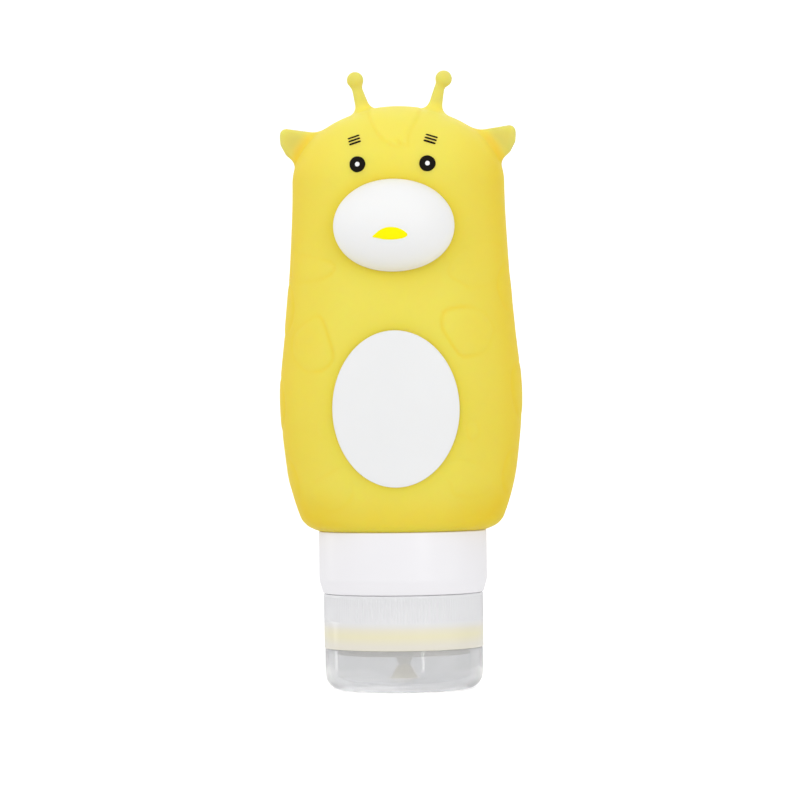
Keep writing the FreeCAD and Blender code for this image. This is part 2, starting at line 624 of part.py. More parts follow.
body_form = fuse("body_form", body_trunk, body_crown, body_foot, neck, lip, face_bulge)
body_hollow = fuse("body_hollow", hollow_trunk, hollow_crown, hollow_floor, neck_bore, hollow_bulge)
body_shell = cut("body_shell", body_form, body_hollow)

# White oval on the belly: an inlay of even depth, flush with the silicone round it

panel_floor = trunk("panel_floor", "Sizes.panel_depth")


def oval_bar(name, swell):
    """Bar with the belly oval's section, from the axis out through the front."""
    ring = oval(name + "_ring", f"Sizes.panel_half_width + Sizes.panel_stretch + {swell}",
                f"Sizes.panel_half_width + {swell}", z="Places.panel_z", rotation=UPRIGHT_OVAL)
    bar = doc.addObject("Part::Extrusion", name)
    bar.Base = ring
    bar.DirMode = "Custom"
    bar.Dir = FreeCAD.Vector(0, -1, 0)
    bar.Solid = True
    return bind(bar, LengthFwd=REACH)


panel_bar = cut("panel_bar", oval_bar("panel_oval", "0"), panel_floor)
belly_panel = common("belly_panel", panel_bar, body_trunk)
panel_pocket = cut("panel_pocket", oval_bar("panel_pocket_oval", "Sizes.inlay_fit"), panel_floor)
bottle_body = cut("bottle_body", body_shell, panel_pocket)

# Muzzle: a white skin over the bulge of the face, and the mouth inlaid in it

muzzle_form = bulge("muzzle_form", "0")
muzzle_skin = cut("muzzle_skin", muzzle_form, fuse("muzzle_seat", face_bulge, body_trunk, body_crown))
mouth_floor = bulge("mouth_floor", "Sizes.mouth_depth")


def lens_bar(name, swell):
    """Bar with the mouth's section: an upper and a lower arc that meet at the corners."""
    arcs = []
    for part, sign, rise in (("upper", "-1", "Sizes.mouth_upper"), ("lower", "1", "Sizes.mouth_lower")):
        radius = f"((Sizes.mouth_width / 2)^2 + {rise}^2) / (2 * {rise})"
        middle = f"Places.mouth_z + {sign} * ({radius} - {rise})"
        arcs.append(rod(f"{name}_{part}", f"{radius} + {swell}", REACH, y="Places.muzzle_y", z=middle,
                        rotation=FACING_FRONT))
    return common(name, *arcs)


mouth = common("mouth", cut("mouth_bar", lens_bar("mouth_lens", "0"), mouth_floor), muzzle_form)
mouth_pocket = cut("mouth_pocket", lens_bar("mouth_pocket_lens", "Sizes.inlay_fit"), mouth_floor)
muzzle = cut("muzzle", muzzle_skin, mouth_pocket)

# Printed eyes and brows: films of ink on the crown

ink_layer = cut("ink_layer", crown("ink_form", "Sizes.ink"), body_crown)
prints = []
for side, sign in (("left", "-1"), ("right", "1")):
    eye_place = {"x": f"{sign} * Sizes.eye_spacing / 2", "z": "Places.head_z + Sizes.eye_height"}
    disc = rod(f"eye_disc_{side}", "Sizes.eye_radius", REACH, rotation=FACING_FRONT, **eye_place)
    dot = rod(f"glint_dot_{side}", "Sizes.glint_radius", REACH, rotation=FACING_FRONT, **eye_place)
    hole = rod(f"eye_hole_{side}", "Sizes.glint_radius + Sizes.inlay_fit", REACH,
               rotation=FACING_FRONT, **eye_place)
    prints.append(common(f"eye_{side}", cut(f"eye_ring_{side}", disc, hole), ink_layer))
    prints.append(common(f"eye_glint_{side}", dot, ink_layer))
    strokes = doc.addObject("Part::Compound", f"brow_strokes_{side}")
    strokes.Links = [
        block(f"stroke_{side}_{number}", "Sizes.stroke_length", REACH, "Sizes.stroke_width",
              "-Sizes.stroke_length / 2", f"-({REACH})",
              f"{number} * Sizes.stroke_pitch - Sizes.stroke_width / 2")
        for number in (-1, 0, 1)
    ]
    strokes.Placement.Rotation = FreeCAD.Rotation(FreeCAD.Vector(0, int(sign), 0), sheet.brow_lean)
    strokes.setExpression("Placement.Rotation.Angle", "Sizes.brow_lean")
    put(strokes, x=f"{sign} * Sizes.brow_spacing / 2", z="Places.head_z + Sizes.brow_height")
    prints.append(common(f"brow_{side}", strokes, ink_layer))

doc.recompute()

# Every piece that is handed over, checked and written under its own name

PIECES = [bottle_body, *ears, *horns, muzzle, mouth, belly_panel, *prints,
          collar, cap_base, valve, valve_retainer, flip_lid]
for thing in doc.Objects:
    if "Invalid" in thing.State or "Error" in thing.State:
        raise RuntimeError(f"{thing.Label} failed to build")
for piece in PIECES:
    if piece.Shape.isNull() or not piece.Shape.isValid():
        raise RuntimeError(f"{piece.Label} has no valid shape")
os.makedirs("parts", exist_ok=True)
for piece in PIECES:
    piece.Shape.exportStep(f"parts/{piece.Label}.step")
    shape = piece.Shape
    print(f"{piece.Label}: {len(shape.Solids)} solids, {shape.Volume:.1f} cubic mm")
print(f"room inside: {body_hollow.Shape.Volume / 1000:.1f} ml")
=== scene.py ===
import bpy
import math
import numpy as np
from mathutils import Euler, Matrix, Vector


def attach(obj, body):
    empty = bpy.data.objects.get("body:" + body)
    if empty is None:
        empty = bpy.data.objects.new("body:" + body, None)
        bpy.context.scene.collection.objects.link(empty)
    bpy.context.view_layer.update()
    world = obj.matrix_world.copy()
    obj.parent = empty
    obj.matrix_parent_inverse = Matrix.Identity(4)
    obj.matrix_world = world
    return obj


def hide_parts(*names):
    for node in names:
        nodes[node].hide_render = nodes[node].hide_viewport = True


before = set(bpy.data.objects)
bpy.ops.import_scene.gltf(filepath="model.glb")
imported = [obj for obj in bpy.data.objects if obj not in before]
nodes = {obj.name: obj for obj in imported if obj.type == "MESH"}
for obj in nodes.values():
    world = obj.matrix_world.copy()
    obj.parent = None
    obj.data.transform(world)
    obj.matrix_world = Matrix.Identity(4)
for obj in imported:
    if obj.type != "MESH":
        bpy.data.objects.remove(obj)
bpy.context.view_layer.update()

# Silicone body: one hollow moulding of soft yellow silicone with head, horns, ears, neck and sealing lip.
# It is pressed in a two-part mould, so every edge is round, and the spots of the coat and the forelock
# stand out as low relief. The thin ears and horns let more light through, and their paler yellow is painted
# light; the deeper yellow towards the sides, at the lower end and in the creases is painted shade.

MM = 0.001
SEAT_Z = 34.6
HEAD_Z = 110.2
CROWN_RISE = 16.65
BODY_WALL = 3.2
FLOOR_WALL = 1.6
NECK_RADIUS = 12.75
NECK_BORE = 10.75
LIP_RADIUS = 14.55
LIP_Z = (11.15, 13.25)
# Height, half width and half depth of the trunk from its seat on the collar up to the crown
STAGES = np.array([
    (34.6, 18.35, 18.35),
    (35.8, 20.75, 18.9),
    (37.6, 22.2, 19.2),
    (49.75, 25.3, 19.9),
    (63.75, 26.4, 20.3),
    (79.35, 25.05, 19.95),
    (93.35, 23.85, 19.2),
    (110.2, 23.15, 18.75),
])
MUZZLE_PLACE = (0.0, -16.85, 100.2)
MUZZLE_HALF = (13.0, 9.4, 10.2)
MUZZLE_SKIN = 1.2
BULGE_WALL = 2.2
PANEL_Z = 61.05
PANEL_HALF = (13.7, 16.8)
PANEL_SKIN = 0.32


def stage_curve(z, column):
    """Half width or half depth of the trunk at a height: a smooth curve through its stages."""
    level = STAGES[:, 0]
    size = STAGES[:, column]
    rise = np.diff(size) / np.diff(level)
    slope = np.zeros(len(size))
    slope[0] = rise[0]
    steady = rise[:-1] * rise[1:] > 0
    slope[1:-1][steady] = 2 * (rise[:-1] * rise[1:])[steady] / (rise[:-1] + rise[1:])[steady]
    z = np.clip(z, level[0], level[-1])
    low = np.clip(np.searchsorted(level, z, side="right") - 1, 0, len(level) - 2)
    span = level[low + 1] - level[low]
    t = (z - level[low]) / span
    start = (1 + 2 * t) * (1 - t) ** 2 * size[low] + t * (1 - t) ** 2 * span * slope[low]
    end = t * t * (3 - 2 * t) * size[low + 1] + t * t * (t - 1) * span * slope[low + 1]
    return start + end


def oval_distance(offsets, halves):
    """Near distance to an oval form, negative inside."""
    reach = np.sqrt(sum((offset / half) ** 2 for offset, half in zip(offsets, halves)))
    steep = np.sqrt(sum((offset / half ** 2) ** 2 for offset, half in zip(offsets, halves)))
    return np.where(reach > 1e-6, reach * (reach - 1) / np.maximum(steep, 1e-9), -10.0)


def trunk_distance(x, y, z):
    above = np.maximum(z - HEAD_Z, 0.0)
    return oval_distance((x, y, above), (stage_curve(z, 1), stage_curve(z, 2), CROWN_RISE))


def melt(first, second, width):
    """Union of two forms with a rounded seam."""
    near = np.maximum(width - np.abs(first - second), 0.0) / width
    return np.minimum(first, second) - near * near * width / 4


def outline_distance(corners, across, up):
    """Distance in a plane to a closed outline, negative inside."""
    gap = np.full(across.shape, np.inf)
    inside = np.zeros(across.shape, bool)
    for (u0, v0), (u1, v1) in zip(corners, corners[1:] + corners[:1]):
        du = u1 - u0
        dv = v1 - v0
        along = np.clip(((across - u0) * du + (up - v0) * dv) / (du * du + dv * dv), 0, 1)
        gap = np.minimum(gap, np.hypot(across - u0 - along * du, up - v0 - along * dv))
        crossed = (v0 > up) != (v1 > up)
        inside ^= crossed & (across < u0 + (up - v0) * du / (dv if dv else 1.0))
    return np.where(inside, -gap, gap)


def smooth_step(value):
    t = np.clip(value, 0.0, 1.0)
    return t * t * (3 - 2 * t)


# Spots of the coat on the front: how clearly each shows, and its outline of x and z
FRONT_SPOTS = [
    (0.75, [(10.5, 81.45), (12.6, 82.45), (15.3, 82.75), (17.5, 82.25), (19.1, 81.25), (20.9, 78.25),
            (20.4, 75.75), (19.4, 73.55), (17.8, 72.45), (15.6, 72.15), (13.8, 72.45), (11.8, 75.35),
            (10.2, 78.35)]),
    (0.75, [(-18.6, 80.45), (-16.7, 81.15), (-15.6, 80.05), (-14.3, 76.35), (-13.4, 73.15), (-13.8, 71.05),
            (-16.4, 69.35), (-20.2, 69.85), (-22.6, 72.95), (-22.4, 77.35)]),
    (0.55, [(-22.6, 94.85), (-19.4, 94.25), (-15.1, 93.15), (-13.1, 92.25), (-12.9, 91.15), (-14.6, 89.55),
            (-18.6, 88.55), (-22.9, 89.35)]),
    (0.4, [(11.6, 89.95), (14.5, 87.85), (16.5, 86.85), (20.4, 87.65), (22.6, 91.35), (22.3, 95.95),
           (18.0, 96.55), (13.5, 93.95)]),
    (0.2, [(-17.0, 58.85), (-16.0, 59.35), (-15.3, 58.65), (-15.1, 56.95), (-15.4, 55.35), (-16.6, 55.15),
           (-17.4, 56.55)]),
    (0.4, [(15.3, 57.95), (16.5, 58.35), (17.5, 57.55), (17.8, 56.05), (17.2, 54.65), (15.8, 54.35),
           (15.1, 55.95)]),
    (0.25, [(-19.6, 43.55), (-15.1, 47.05), (-11.4, 48.55), (-9.4, 45.35), (-10.2, 41.35), (-14.8, 39.15)]),
    (0.25, [(8.7, 47.35), (11.5, 45.15), (12.5, 42.55), (17.6, 41.95), (20.4, 45.15), (18.2, 48.75),
            (12.9, 49.75)]),
]
# Spots on the sides and the back: angle from the front in degrees, height, turn in degrees and size
SIDE_SPOTS = [
    (78, 87, 20, 1.0), (-80, 83, -60, 1.05), (84, 65, 110, 1.15), (-86, 62, 40, 1.1), (76, 47, -30, 0.9),
    (-74, 46, 150, 0.85), (120, 98, 70, 0.9), (-124, 96, 200, 0.95), (128, 77, 300, 1.1),
    (-132, 75, 15, 1.15), (122, 55, 230, 1.0), (-126, 53, 80, 1.05), (168, 91, 130, 1.1),
    (-172, 69, -20, 1.2), (164, 50, 45, 0.95),
]
SPOT_FORM = [(-5.4, 1.6), (-3.0, 4.4), (1.0, 5.2), (4.6, 3.4), (5.6, -0.6), (3.6, -4.4), (-0.6, -5.0),
             (-4.4, -2.8)]
FORELOCK = [(-6.2, 130.0), (-5.5, 124.4), (-4.3, 122.15), (-3.5, 120.55), (-1.9, 118.85), (-0.2, 117.75),
            (1.1, 117.45), (1.3, 118.85), (2.0, 117.85), (3.0, 117.75), (3.0, 119.75), (3.7, 121.45),
            (4.9, 123.85), (5.8, 130.0)]
SPOT_POINTS = 36
SPOT_LIFT = 0.1
SPOT_SLOPE = 1.6
SPOT_LINE = 0.42
LINE_REACH = 2.0
SIDE_STRENGTH = 0.45
LINE_DEPTH = 0.18
# Where the lines of the front spots fade towards the sides, over what way, and what is left of them
FRONT_FADE = (18.0, 5.0, 0.3)
FORELOCK_LIFT = 0.3
FORELOCK_LINE = 0.3
FORELOCK_LINE_OFF = 0.3
FORELOCK_EDGE = 0.4
FORELOCK_FADE = 4.0
FORELOCK_ZONE = (5.0, 8.0)
# Reach of the painted shade round the belly oval
PANEL_SHADE_HALO = 1.3
PANEL_ZONE = 6.0
PANEL_BED = (0.3, 0.9)
UNROLL = 22.0


def rounded_outline(corners, count):
    """Closed smooth line through corners."""
    corners = np.asarray(corners, float)
    line = []
    for k in range(count):
        at = k * len(corners) / count
        i = int(at)
        t = at - i
        a, b, c, d = (corners[(i + n) % len(corners)] for n in (-1, 0, 1, 2))
        line.append(0.5 * (2 * b + (c - a) * t + (2 * a - 5 * b + 4 * c - d) * t ** 2
                           + (3 * b - a - 3 * c + d) * t ** 3))
    return np.array(line)


def front_spot(corners):
    """Outline of a front spot on the unrolled side of the trunk."""
    half = [float(stage_curve(np.array(z), 1)) for _, z in corners]
    return [(UNROLL * math.asin(max(-1.0, min(1.0, x / w))), z) for (x, z), w in zip(corners, half)]


def side_spot(angle, height, turn, size):
    cos = math.cos(math.radians(turn)) * size
    sin = math.sin(math.radians(turn)) * size
    middle = UNROLL * math.radians(angle)
    return [(middle + u * cos - v * sin, height + u * sin + v * cos) for u, v in SPOT_FORM]


coat_spots = [(strength, True, front_spot(corners)) for strength, corners in FRONT_SPOTS]
coat_spots += [(SIDE_STRENGTH, False, side_spot(*spot)) for spot in SIDE_SPOTS]
coat_spots = [(strength, at_front, [tuple(spot) for spot in rounded_outline(corners, SPOT_POINTS)])
              for strength, at_front, corners in coat_spots]


def coat_relief(x, y, z):
    """How far the low relief stands out of the trunk, and how strong its fine lines are."""
    around = UNROLL * np.arctan2(x / stage_curve(z, 1), -y / stage_curve(z, 2))
    lift = np.zeros(x.shape)
    line = np.zeros(x.shape)
    fade_start, fade_way, faintest = FRONT_FADE
    for strength, at_front, corners in coat_spots:
        reach = max(math.hypot(u - corners[0][0], v - corners[0][1]) for u, v in corners) + LINE_REACH
        near = np.hypot(around - corners[0][0], z - corners[0][1]) < reach
        gap = outline_distance(corners, around[near], z[near])
        shown = smooth_step((fade_start - np.abs(around[near])) / fade_way) if at_front else 1.0
        drawn = strength * (faintest + (1 - faintest) * shown)
        lift[near] = np.maximum(lift[near], SPOT_LIFT * smooth_step(-gap / SPOT_SLOPE))
        line[near] = np.maximum(line[near], drawn * np.exp(-(gap / SPOT_LINE) ** 2))
    near = (z > HEAD_Z + FORELOCK_ZONE[0]) & (y < 0) & (np.abs(x) < FORELOCK_ZONE[1])
    gap = outline_distance(FORELOCK, x[near], z[near])
    ahead = smooth_step(-y[near] / FORELOCK_FADE)
    lock_line = np.exp(-((gap - FORELOCK_LINE_OFF) / SPOT_LINE) ** 2)
    lift[near] = np.maximum(lift[near], FORELOCK_LIFT * ahead * smooth_step(FORELOCK_EDGE - gap))
    line[near] = np.maximum(line[near], FORELOCK_LINE * ahead * lock_line)
    lift -= LINE_DEPTH * line
    near = (y < 0) & (np.abs(z - PANEL_Z) < PANEL_HALF[1] + PANEL_ZONE)
    gap = oval_distance((x[near], z[near] - PANEL_Z), PANEL_HALF)
    # Halo round the belly oval: it joins the lines after their groove is cut, so it only feeds the painted
    # shade
    line[near] = np.maximum(line[near], np.exp(-np.maximum(gap, 0.0) / PANEL_SHADE_HALO))
    lift[near] -= PANEL_SKIN * smooth_step(PANEL_BED[0] - gap / PANEL_BED[1])
    return lift, line


EAR = [(16.4, 115.95), (21.8, 116.15), (23.4, 117.55), (24.35, 119.35), (24.45, 120.65), (24.4, 121.15),
       (16.4, 119.95)]
EAR_EDGE = 1.35
EAR_HALF = 1.9
# Foot, neck and knob of each horn
HORNS = [
    ((-7.2, 0.0, 125.5), (-8.75, 0.0, 130.95), (-9.17, 0.0, 132.9)),
    ((7.95, 0.0, 125.5), (9.2, 0.0, 130.8), (10.2, 0.0, 132.9)),
]
HORN_RADII = (1.65, 1.12)
KNOB_RADIUS = 1.82
# Widths over which two forms run into each other
SEAT_SEAM = 0.5
EAR_SEAM = 1.6
KNOB_SEAM = 0.8
HORN_SEAM = 2.2
BULGE_SEAM = 0.8
LIP_SEAM = 0.4
BORE_SEAM = 1.5
# How far the bore runs past the lip and into the room, and the neck up into the body
BORE_REACH = (2.0, 4.0)
NECK_ROOT = 2.0
RELIEF_ZONE = 1.5


def taper_distance(place, foot, tip, foot_radius, tip_radius):
    """Distance to a round stem that narrows from its foot to its tip."""
    run = [b - a for a, b in zip(foot, tip)]
    length = sum(r * r for r in run)
    t = np.clip(sum((p - a) * r for p, a, r in zip(place, foot, run)) / length, 0, 1)
    gap = np.sqrt(sum((p - a - t * r) ** 2 for p, a, r in zip(place, foot, run)))
    return gap - foot_radius - (tip_radius - foot_radius) * t


def hollow_distance(spots):
    """Distance to the room inside the bottle and its neck."""
    x, y, z = spots.T
    hollow = np.maximum(trunk_distance(x, y, z) + BODY_WALL, SEAT_Z + FLOOR_WALL - z)
    offsets = [p - c for p, c in zip((x, y, z), MUZZLE_PLACE)]
    bulge = oval_distance(offsets, [half - MUZZLE_SKIN - BULGE_WALL for half in MUZZLE_HALF])
    ends = np.maximum(z - SEAT_Z - BORE_REACH[1], LIP_Z[0] - BORE_REACH[0] - z)
    bore = np.maximum(np.hypot(x, y) - NECK_BORE, ends)
    return melt(np.minimum(hollow, bulge), bore, BORE_SEAM)


def body_distance(spots):
    """Distance to the outside of the silicone at many places, negative inside it."""
    x, y, z = spots.T
    trunk = trunk_distance(x, y, z)
    form = trunk.copy()
    skin_zone = (np.abs(trunk) < RELIEF_ZONE) & (z > SEAT_Z)
    form[skin_zone] -= coat_relief(x[skin_zone], y[skin_zone], z[skin_zone])[0]
    form = -melt(-form, z - SEAT_Z, SEAT_SEAM)
    side = np.abs(x)
    top = z > HEAD_Z
    place = (side[top], y[top], z[top])
    flat = outline_distance(EAR, place[0], place[2])
    thick = np.abs(place[1]) - (EAR_HALF - EAR_EDGE)
    off_leaf = np.hypot(np.maximum(flat, 0), np.maximum(thick, 0)) + np.minimum(np.maximum(flat, thick), 0)
    head = melt(form[top], off_leaf - EAR_EDGE, EAR_SEAM)
    horn_place = (x[top], y[top], z[top])
    for foot, neck, tip in HORNS:
        stem = taper_distance(horn_place, foot, neck, *HORN_RADII)
        knob = np.sqrt(sum((p - c) ** 2 for p, c in zip(horn_place, tip))) - KNOB_RADIUS
        head = melt(head, melt(stem, knob, KNOB_SEAM), HORN_SEAM)
    form[top] = head
    bulge_half = [half - MUZZLE_SKIN for half in MUZZLE_HALF]
    offsets = [p - c for p, c in zip((x, y, z), MUZZLE_PLACE)]
    form = melt(form, oval_distance(offsets, bulge_half), BULGE_SEAM)
    round_way = np.hypot(x, y)
    neck = np.maximum(np.maximum(round_way - NECK_RADIUS, LIP_Z[0] - z), z - SEAT_Z - NECK_ROOT)
    lip = np.maximum(round_way - LIP_RADIUS, np.abs(z - sum(LIP_Z) / 2) - (LIP_Z[1] - LIP_Z[0]) / 2)
    return np.minimum(form, melt(neck, lip, LIP_SEAM))


def skin_over(field, low, high, step, rounds):
    """Closed mesh where a field of distances is nought: a point in every cell that the surface crosses."""
    axes = [np.arange(a, b + step, step) for a, b in zip(low, high)]
    shape = tuple(len(axis) for axis in axes)
    spots = np.stack(np.meshgrid(*axes, indexing="ij"), -1).reshape(-1, 3)
    value = field(spots).reshape(shape)
    solid = value < 0
    total = np.zeros(tuple(n - 1 for n in shape) + (3,))
    count = np.zeros(total.shape[:3])
    quads = []
    for axis in range(3):
        low_end = [slice(None)] * 3
        high_end = [slice(None)] * 3
        low_end[axis] = slice(0, -1)
        high_end[axis] = slice(1, None)
        before = value[tuple(low_end)]
        after = value[tuple(high_end)]
        crossed = solid[tuple(low_end)] != solid[tuple(high_end)]
        share = np.where(crossed, before / np.where(crossed, before - after, 1.0), 0.0)
        b, c = (axis + 1) % 3, (axis + 2) % 3
        for db in (0, 1):
            for dc in (0, 1):
                part = [slice(None)] * 3
                part[b] = slice(db, shape[b] - 1 + db)
                part[c] = slice(dc, shape[c] - 1 + dc)
                hit = crossed[tuple(part)]
                count += hit
                total[..., axis] += np.where(hit, share[tuple(part)], 0.0)
                total[..., b] += hit * db
                total[..., c] += hit * dc
        edges = np.argwhere(crossed)
        for way in (b, c):
            edges = edges[(edges[:, way] > 0) & (edges[:, way] < shape[way] - 1)]
        ring = []
        for db, dc in ((1, 1), (0, 1), (0, 0), (1, 0)):
            cell = edges.copy()
            cell[:, b] -= db
            cell[:, c] -= dc
            ring.append(cell)
        leaving = solid[tuple(edges.T)]
        quads.append((np.stack(ring, 1), leaving))
    cells = np.argwhere(count > 0)
    number = np.full(count.shape, -1)
    number[tuple(cells.T)] = np.arange(len(cells))
    points = np.array(low) + step * (cells + total[tuple(cells.T)] / count[tuple(cells.T)][:, None])
    faces = []
    for ring, leaving in quads:
        corner = number[ring[..., 0], ring[..., 1], ring[..., 2]]
        faces.append(np.where(leaving[:, None], corner, corner[:, ::-1]))
    faces = np.concatenate(faces)

    def settle(places):
        reach = 0.05
        flattest = 0.2
        longest = 0.5 * step
        slope = np.stack([
            (field(places + reach * unit) - field(places - reach * unit)) / (2 * reach) for unit in np.eye(3)
        ], 1)
        push = field(places)[:, None] * slope / np.maximum((slope ** 2).sum(1), flattest)[:, None]
        length = np.linalg.norm(push, axis=1)[:, None]
        return places - push * np.minimum(1.0, longest / np.maximum(length, 1e-9))

    points = settle(points)
    for _ in range(rounds):
        mean = np.zeros(points.shape)
        links = np.zeros(len(points))
        for k in range(4):
            a, b = faces[:, k], faces[:, (k + 1) % 4]
            for here, there in ((a, b), (b, a)):
                links += np.bincount(here, minlength=len(points))
                for axis in range(3):
                    mean[:, axis] += np.bincount(here, points[there, axis], len(points))
        points = settle(0.5 * points + 0.5 * mean / links[:, None])
    return settle(points), faces


def make_piece(name, points, faces, material):
    """Piece of the object from places in millimetres."""
    mesh = bpy.data.meshes.new(name)
    mesh.from_pydata(np.asarray(points) * MM, [], [tuple(face) for face in faces])
    mesh.validate()
    mesh.shade_smooth()
    piece = bpy.data.objects.new(name, mesh)
    bpy.context.scene.collection.objects.link(piece)
    mesh.materials.append(material)
    return piece


def weld(piece, tools, operation="UNION"):
    """Piece with closed forms joined to it or cut out of it."""
    for tool in tools:
        change = piece.modifiers.new("weld", "BOOLEAN")
        change.operation = operation
        change.solver = "MANIFOLD"
        change.object = tool
    bpy.context.view_layer.update()
    graph = bpy.context.evaluated_depsgraph_get()
    mesh = bpy.data.meshes.new_from_object(piece.evaluated_get(graph))
    piece.modifiers.clear()
    piece.data = mesh
    for tool in tools:
        bpy.data.objects.remove(tool)
    return piece


def finish(name, **sockets):
    """Material whose even values stand on its shader's own sockets."""
    material = bpy.data.materials.new(name)
    material.use_nodes = True
    shader = material.node_tree.nodes["Principled BSDF"]
    for socket, value in sockets.items():
        shader.inputs[socket.replace("_", " ")].default_value = value
    return material, shader


def effect(name, inputs, outputs):
    """Shared effect of several finishes, as a node group with named sockets."""
    group = bpy.data.node_groups.new(name, "ShaderNodeTree")
    for label, kind in inputs:
        group.interface.new_socket(label, in_out="INPUT", socket_type=kind)
    for label, kind in outputs:
        group.interface.new_socket(label, in_out="OUTPUT", socket_type=kind)
    return group, group.nodes.new("NodeGroupInput"), group.nodes.new("NodeGroupOutput")


def noise(tree, scale, detail, source):
    node = tree.nodes.new("ShaderNodeTexNoise")
    node.inputs["Scale"].default_value = scale
    node.inputs["Detail"].default_value = detail
    tree.links.new(source, node.inputs["Vector"])
    return node.outputs["Fac"]


def feed(tree, value, socket):
    """Link a socket to another, or set its value."""
    if isinstance(value, bpy.types.NodeSocket):
        tree.links.new(value, socket)
    else:
        socket.default_value = value


def math_node(tree, operation, first, second):
    node = tree.nodes.new("ShaderNodeMath")
    node.operation = operation
    feed(tree, first, node.inputs[0])
    feed(tree, second, node.inputs[1])
    return node.outputs["Value"]


def colour_mix(tree, share, first, second):
    node = tree.nodes.new("ShaderNodeMix")
    node.data_type = "RGBA"
    for socket, value in (("Factor", share), ("A", first), ("B", second)):
        feed(tree, value, node.inputs[socket])
    return node.outputs["Result"]


# Moulded silicone: cloudy colour, a dull skin that varies a little and a fine grain left by the mould.
# Fineness and detail of each, the smears' middle value and how far they change the dullness
CLOUDS = (55.0, 3.0)
MOULD_GRAIN = (2600.0, 2.0)
SMEARS = (240.0, 4.0)
SMEAR_MIDDLE = 0.5
SMEAR_SPREAD = 0.22
silicone_skin, group_in, group_out = effect(
    "silicone_skin",
    [("Light", "NodeSocketColor"), ("Deep", "NodeSocketColor"), ("Clouding", "NodeSocketFloat"),
     ("Dullness", "NodeSocketFloat")],
    [("Colour", "NodeSocketColor"), ("Roughness", "NodeSocketFloat"), ("Grain", "NodeSocketFloat")])
coordinate = silicone_skin.nodes.new("ShaderNodeTexCoord").outputs["Object"]
clouds = noise(silicone_skin, *CLOUDS, coordinate)
grain = noise(silicone_skin, *MOULD_GRAIN, coordinate)
smears = noise(silicone_skin, *SMEARS, coordinate)
share = math_node(silicone_skin, "MULTIPLY", clouds, group_in.outputs["Clouding"])
silicone_skin.links.new(
    colour_mix(silicone_skin, share, group_in.outputs["Light"], group_in.outputs["Deep"]),
    group_out.inputs["Colour"])
off_middle = math_node(silicone_skin, "SUBTRACT", smears, SMEAR_MIDDLE)
spread = math_node(silicone_skin, "MULTIPLY", off_middle, SMEAR_SPREAD)
silicone_skin.links.new(
    math_node(silicone_skin, "ADD", group_in.outputs["Dullness"], spread), group_out.inputs["Roughness"])
silicone_skin.links.new(grain, group_out.inputs["Grain"])


def place_effect(material, group, **values):
    node = material.node_tree.nodes.new("ShaderNodeGroup")
    node.node_tree = group
    for socket, value in values.items():
        node.inputs[socket].default_value = value
    return node


def add_bump(material, shader, height, strength, depth):
    tree = material.node_tree
    bump = tree.nodes.new("ShaderNodeBump")
    bump.inputs["Strength"].default_value = strength
    bump.inputs["Distance"].default_value = depth * MM
    tree.links.new(height, bump.inputs["Height"])
    tree.links.new(bump.outputs["Normal"], shader.inputs["Normal"])


def silicone(name, light, deep, clouding, dullness, **sockets):
    material, shader = finish(name, **sockets)
    tree = material.node_tree
    skin = place_effect(material, silicone_skin, Light=light, Deep=deep, Clouding=clouding, Dullness=dullness)
    tree.links.new(skin.outputs["Colour"], shader.inputs["Base Color"])
    tree.links.new(skin.outputs["Roughness"], shader.inputs["Roughness"])
    add_bump(material, shader, skin.outputs["Grain"], *GRAIN)
    return material, shader, skin


# Strength and depth of the mould's grain
GRAIN = (0.25, 0.05)
YELLOW = (0.87, 0.76, 0.13, 1)
DEEP_YELLOW = (0.86, 0.70, 0.09, 1)
FLANK_SHADE_YELLOW = (0.85, 0.60, 0.035, 1)
GLOW_THROUGH_YELLOW = (0.69, 0.635, 0.15, 1)
CREASE_SHADE_YELLOW = (0.87, 0.60, 0.012, 1)
# Strength and reach of the painted shade, a deeper yellow, round the muzzle, and its strength along the fine
# lines
RIM_SHADE = (0.6, 1.8)
LINE_SHADE = 0.5
# Where a form past the trunk begins to look thin, and over what way; there its paler yellow is painted light
# that shines through
THIN_FROM = (0.3, 2.6)
HEAD_ONLY = 2.0
# Strength, start and way of the painted shade, a warmer and deeper yellow, towards the sides, and of that at
# the lower end
FLANK_SHADE_BANDS = [(0.5, 0.35, 0.65), (0.35, 0.8, 0.2)]
FOOT_SHADE_BAND = (0.55, 46.0, 11.0)
# Corners of the boxes in which the surfaces are looked for, fineness and rounds of smoothing
BODY_NET = ((-27.6, -27.0, 10.4), (27.6, 21.6, 135.6), 0.51, 2)
ROOM_NET = ((-24.6, -24.0, 8.0), (24.6, 18.6, 125.0), 1.3, 2)
OUTER_SKIN = 1.2
yellow, shader, skin = silicone(
    "yellow_silicone", YELLOW, DEEP_YELLOW, clouding=0.6, dullness=0.5,
    Subsurface_Weight=0.6, Subsurface_Radius=(1.0, 0.72, 0.15), Subsurface_Scale=0.005, IOR=1.41,
    Specular_IOR_Level=0.12)
tree = yellow.node_tree
colour = skin.outputs["Colour"]
# The yellow is mixed with painted shade towards the sides and lower end, painted light in the thin ears and
# horns, and painted shade in the creases
for label, tint in (("flank", FLANK_SHADE_YELLOW), ("thin", GLOW_THROUGH_YELLOW), ("crease", CREASE_SHADE_YELLOW)):
    mask = tree.nodes.new("ShaderNodeAttribute")
    mask.attribute_name = label
    colour = colour_mix(tree, mask.outputs["Fac"], colour, tint)
tree.links.new(colour, shader.inputs["Base Color"])

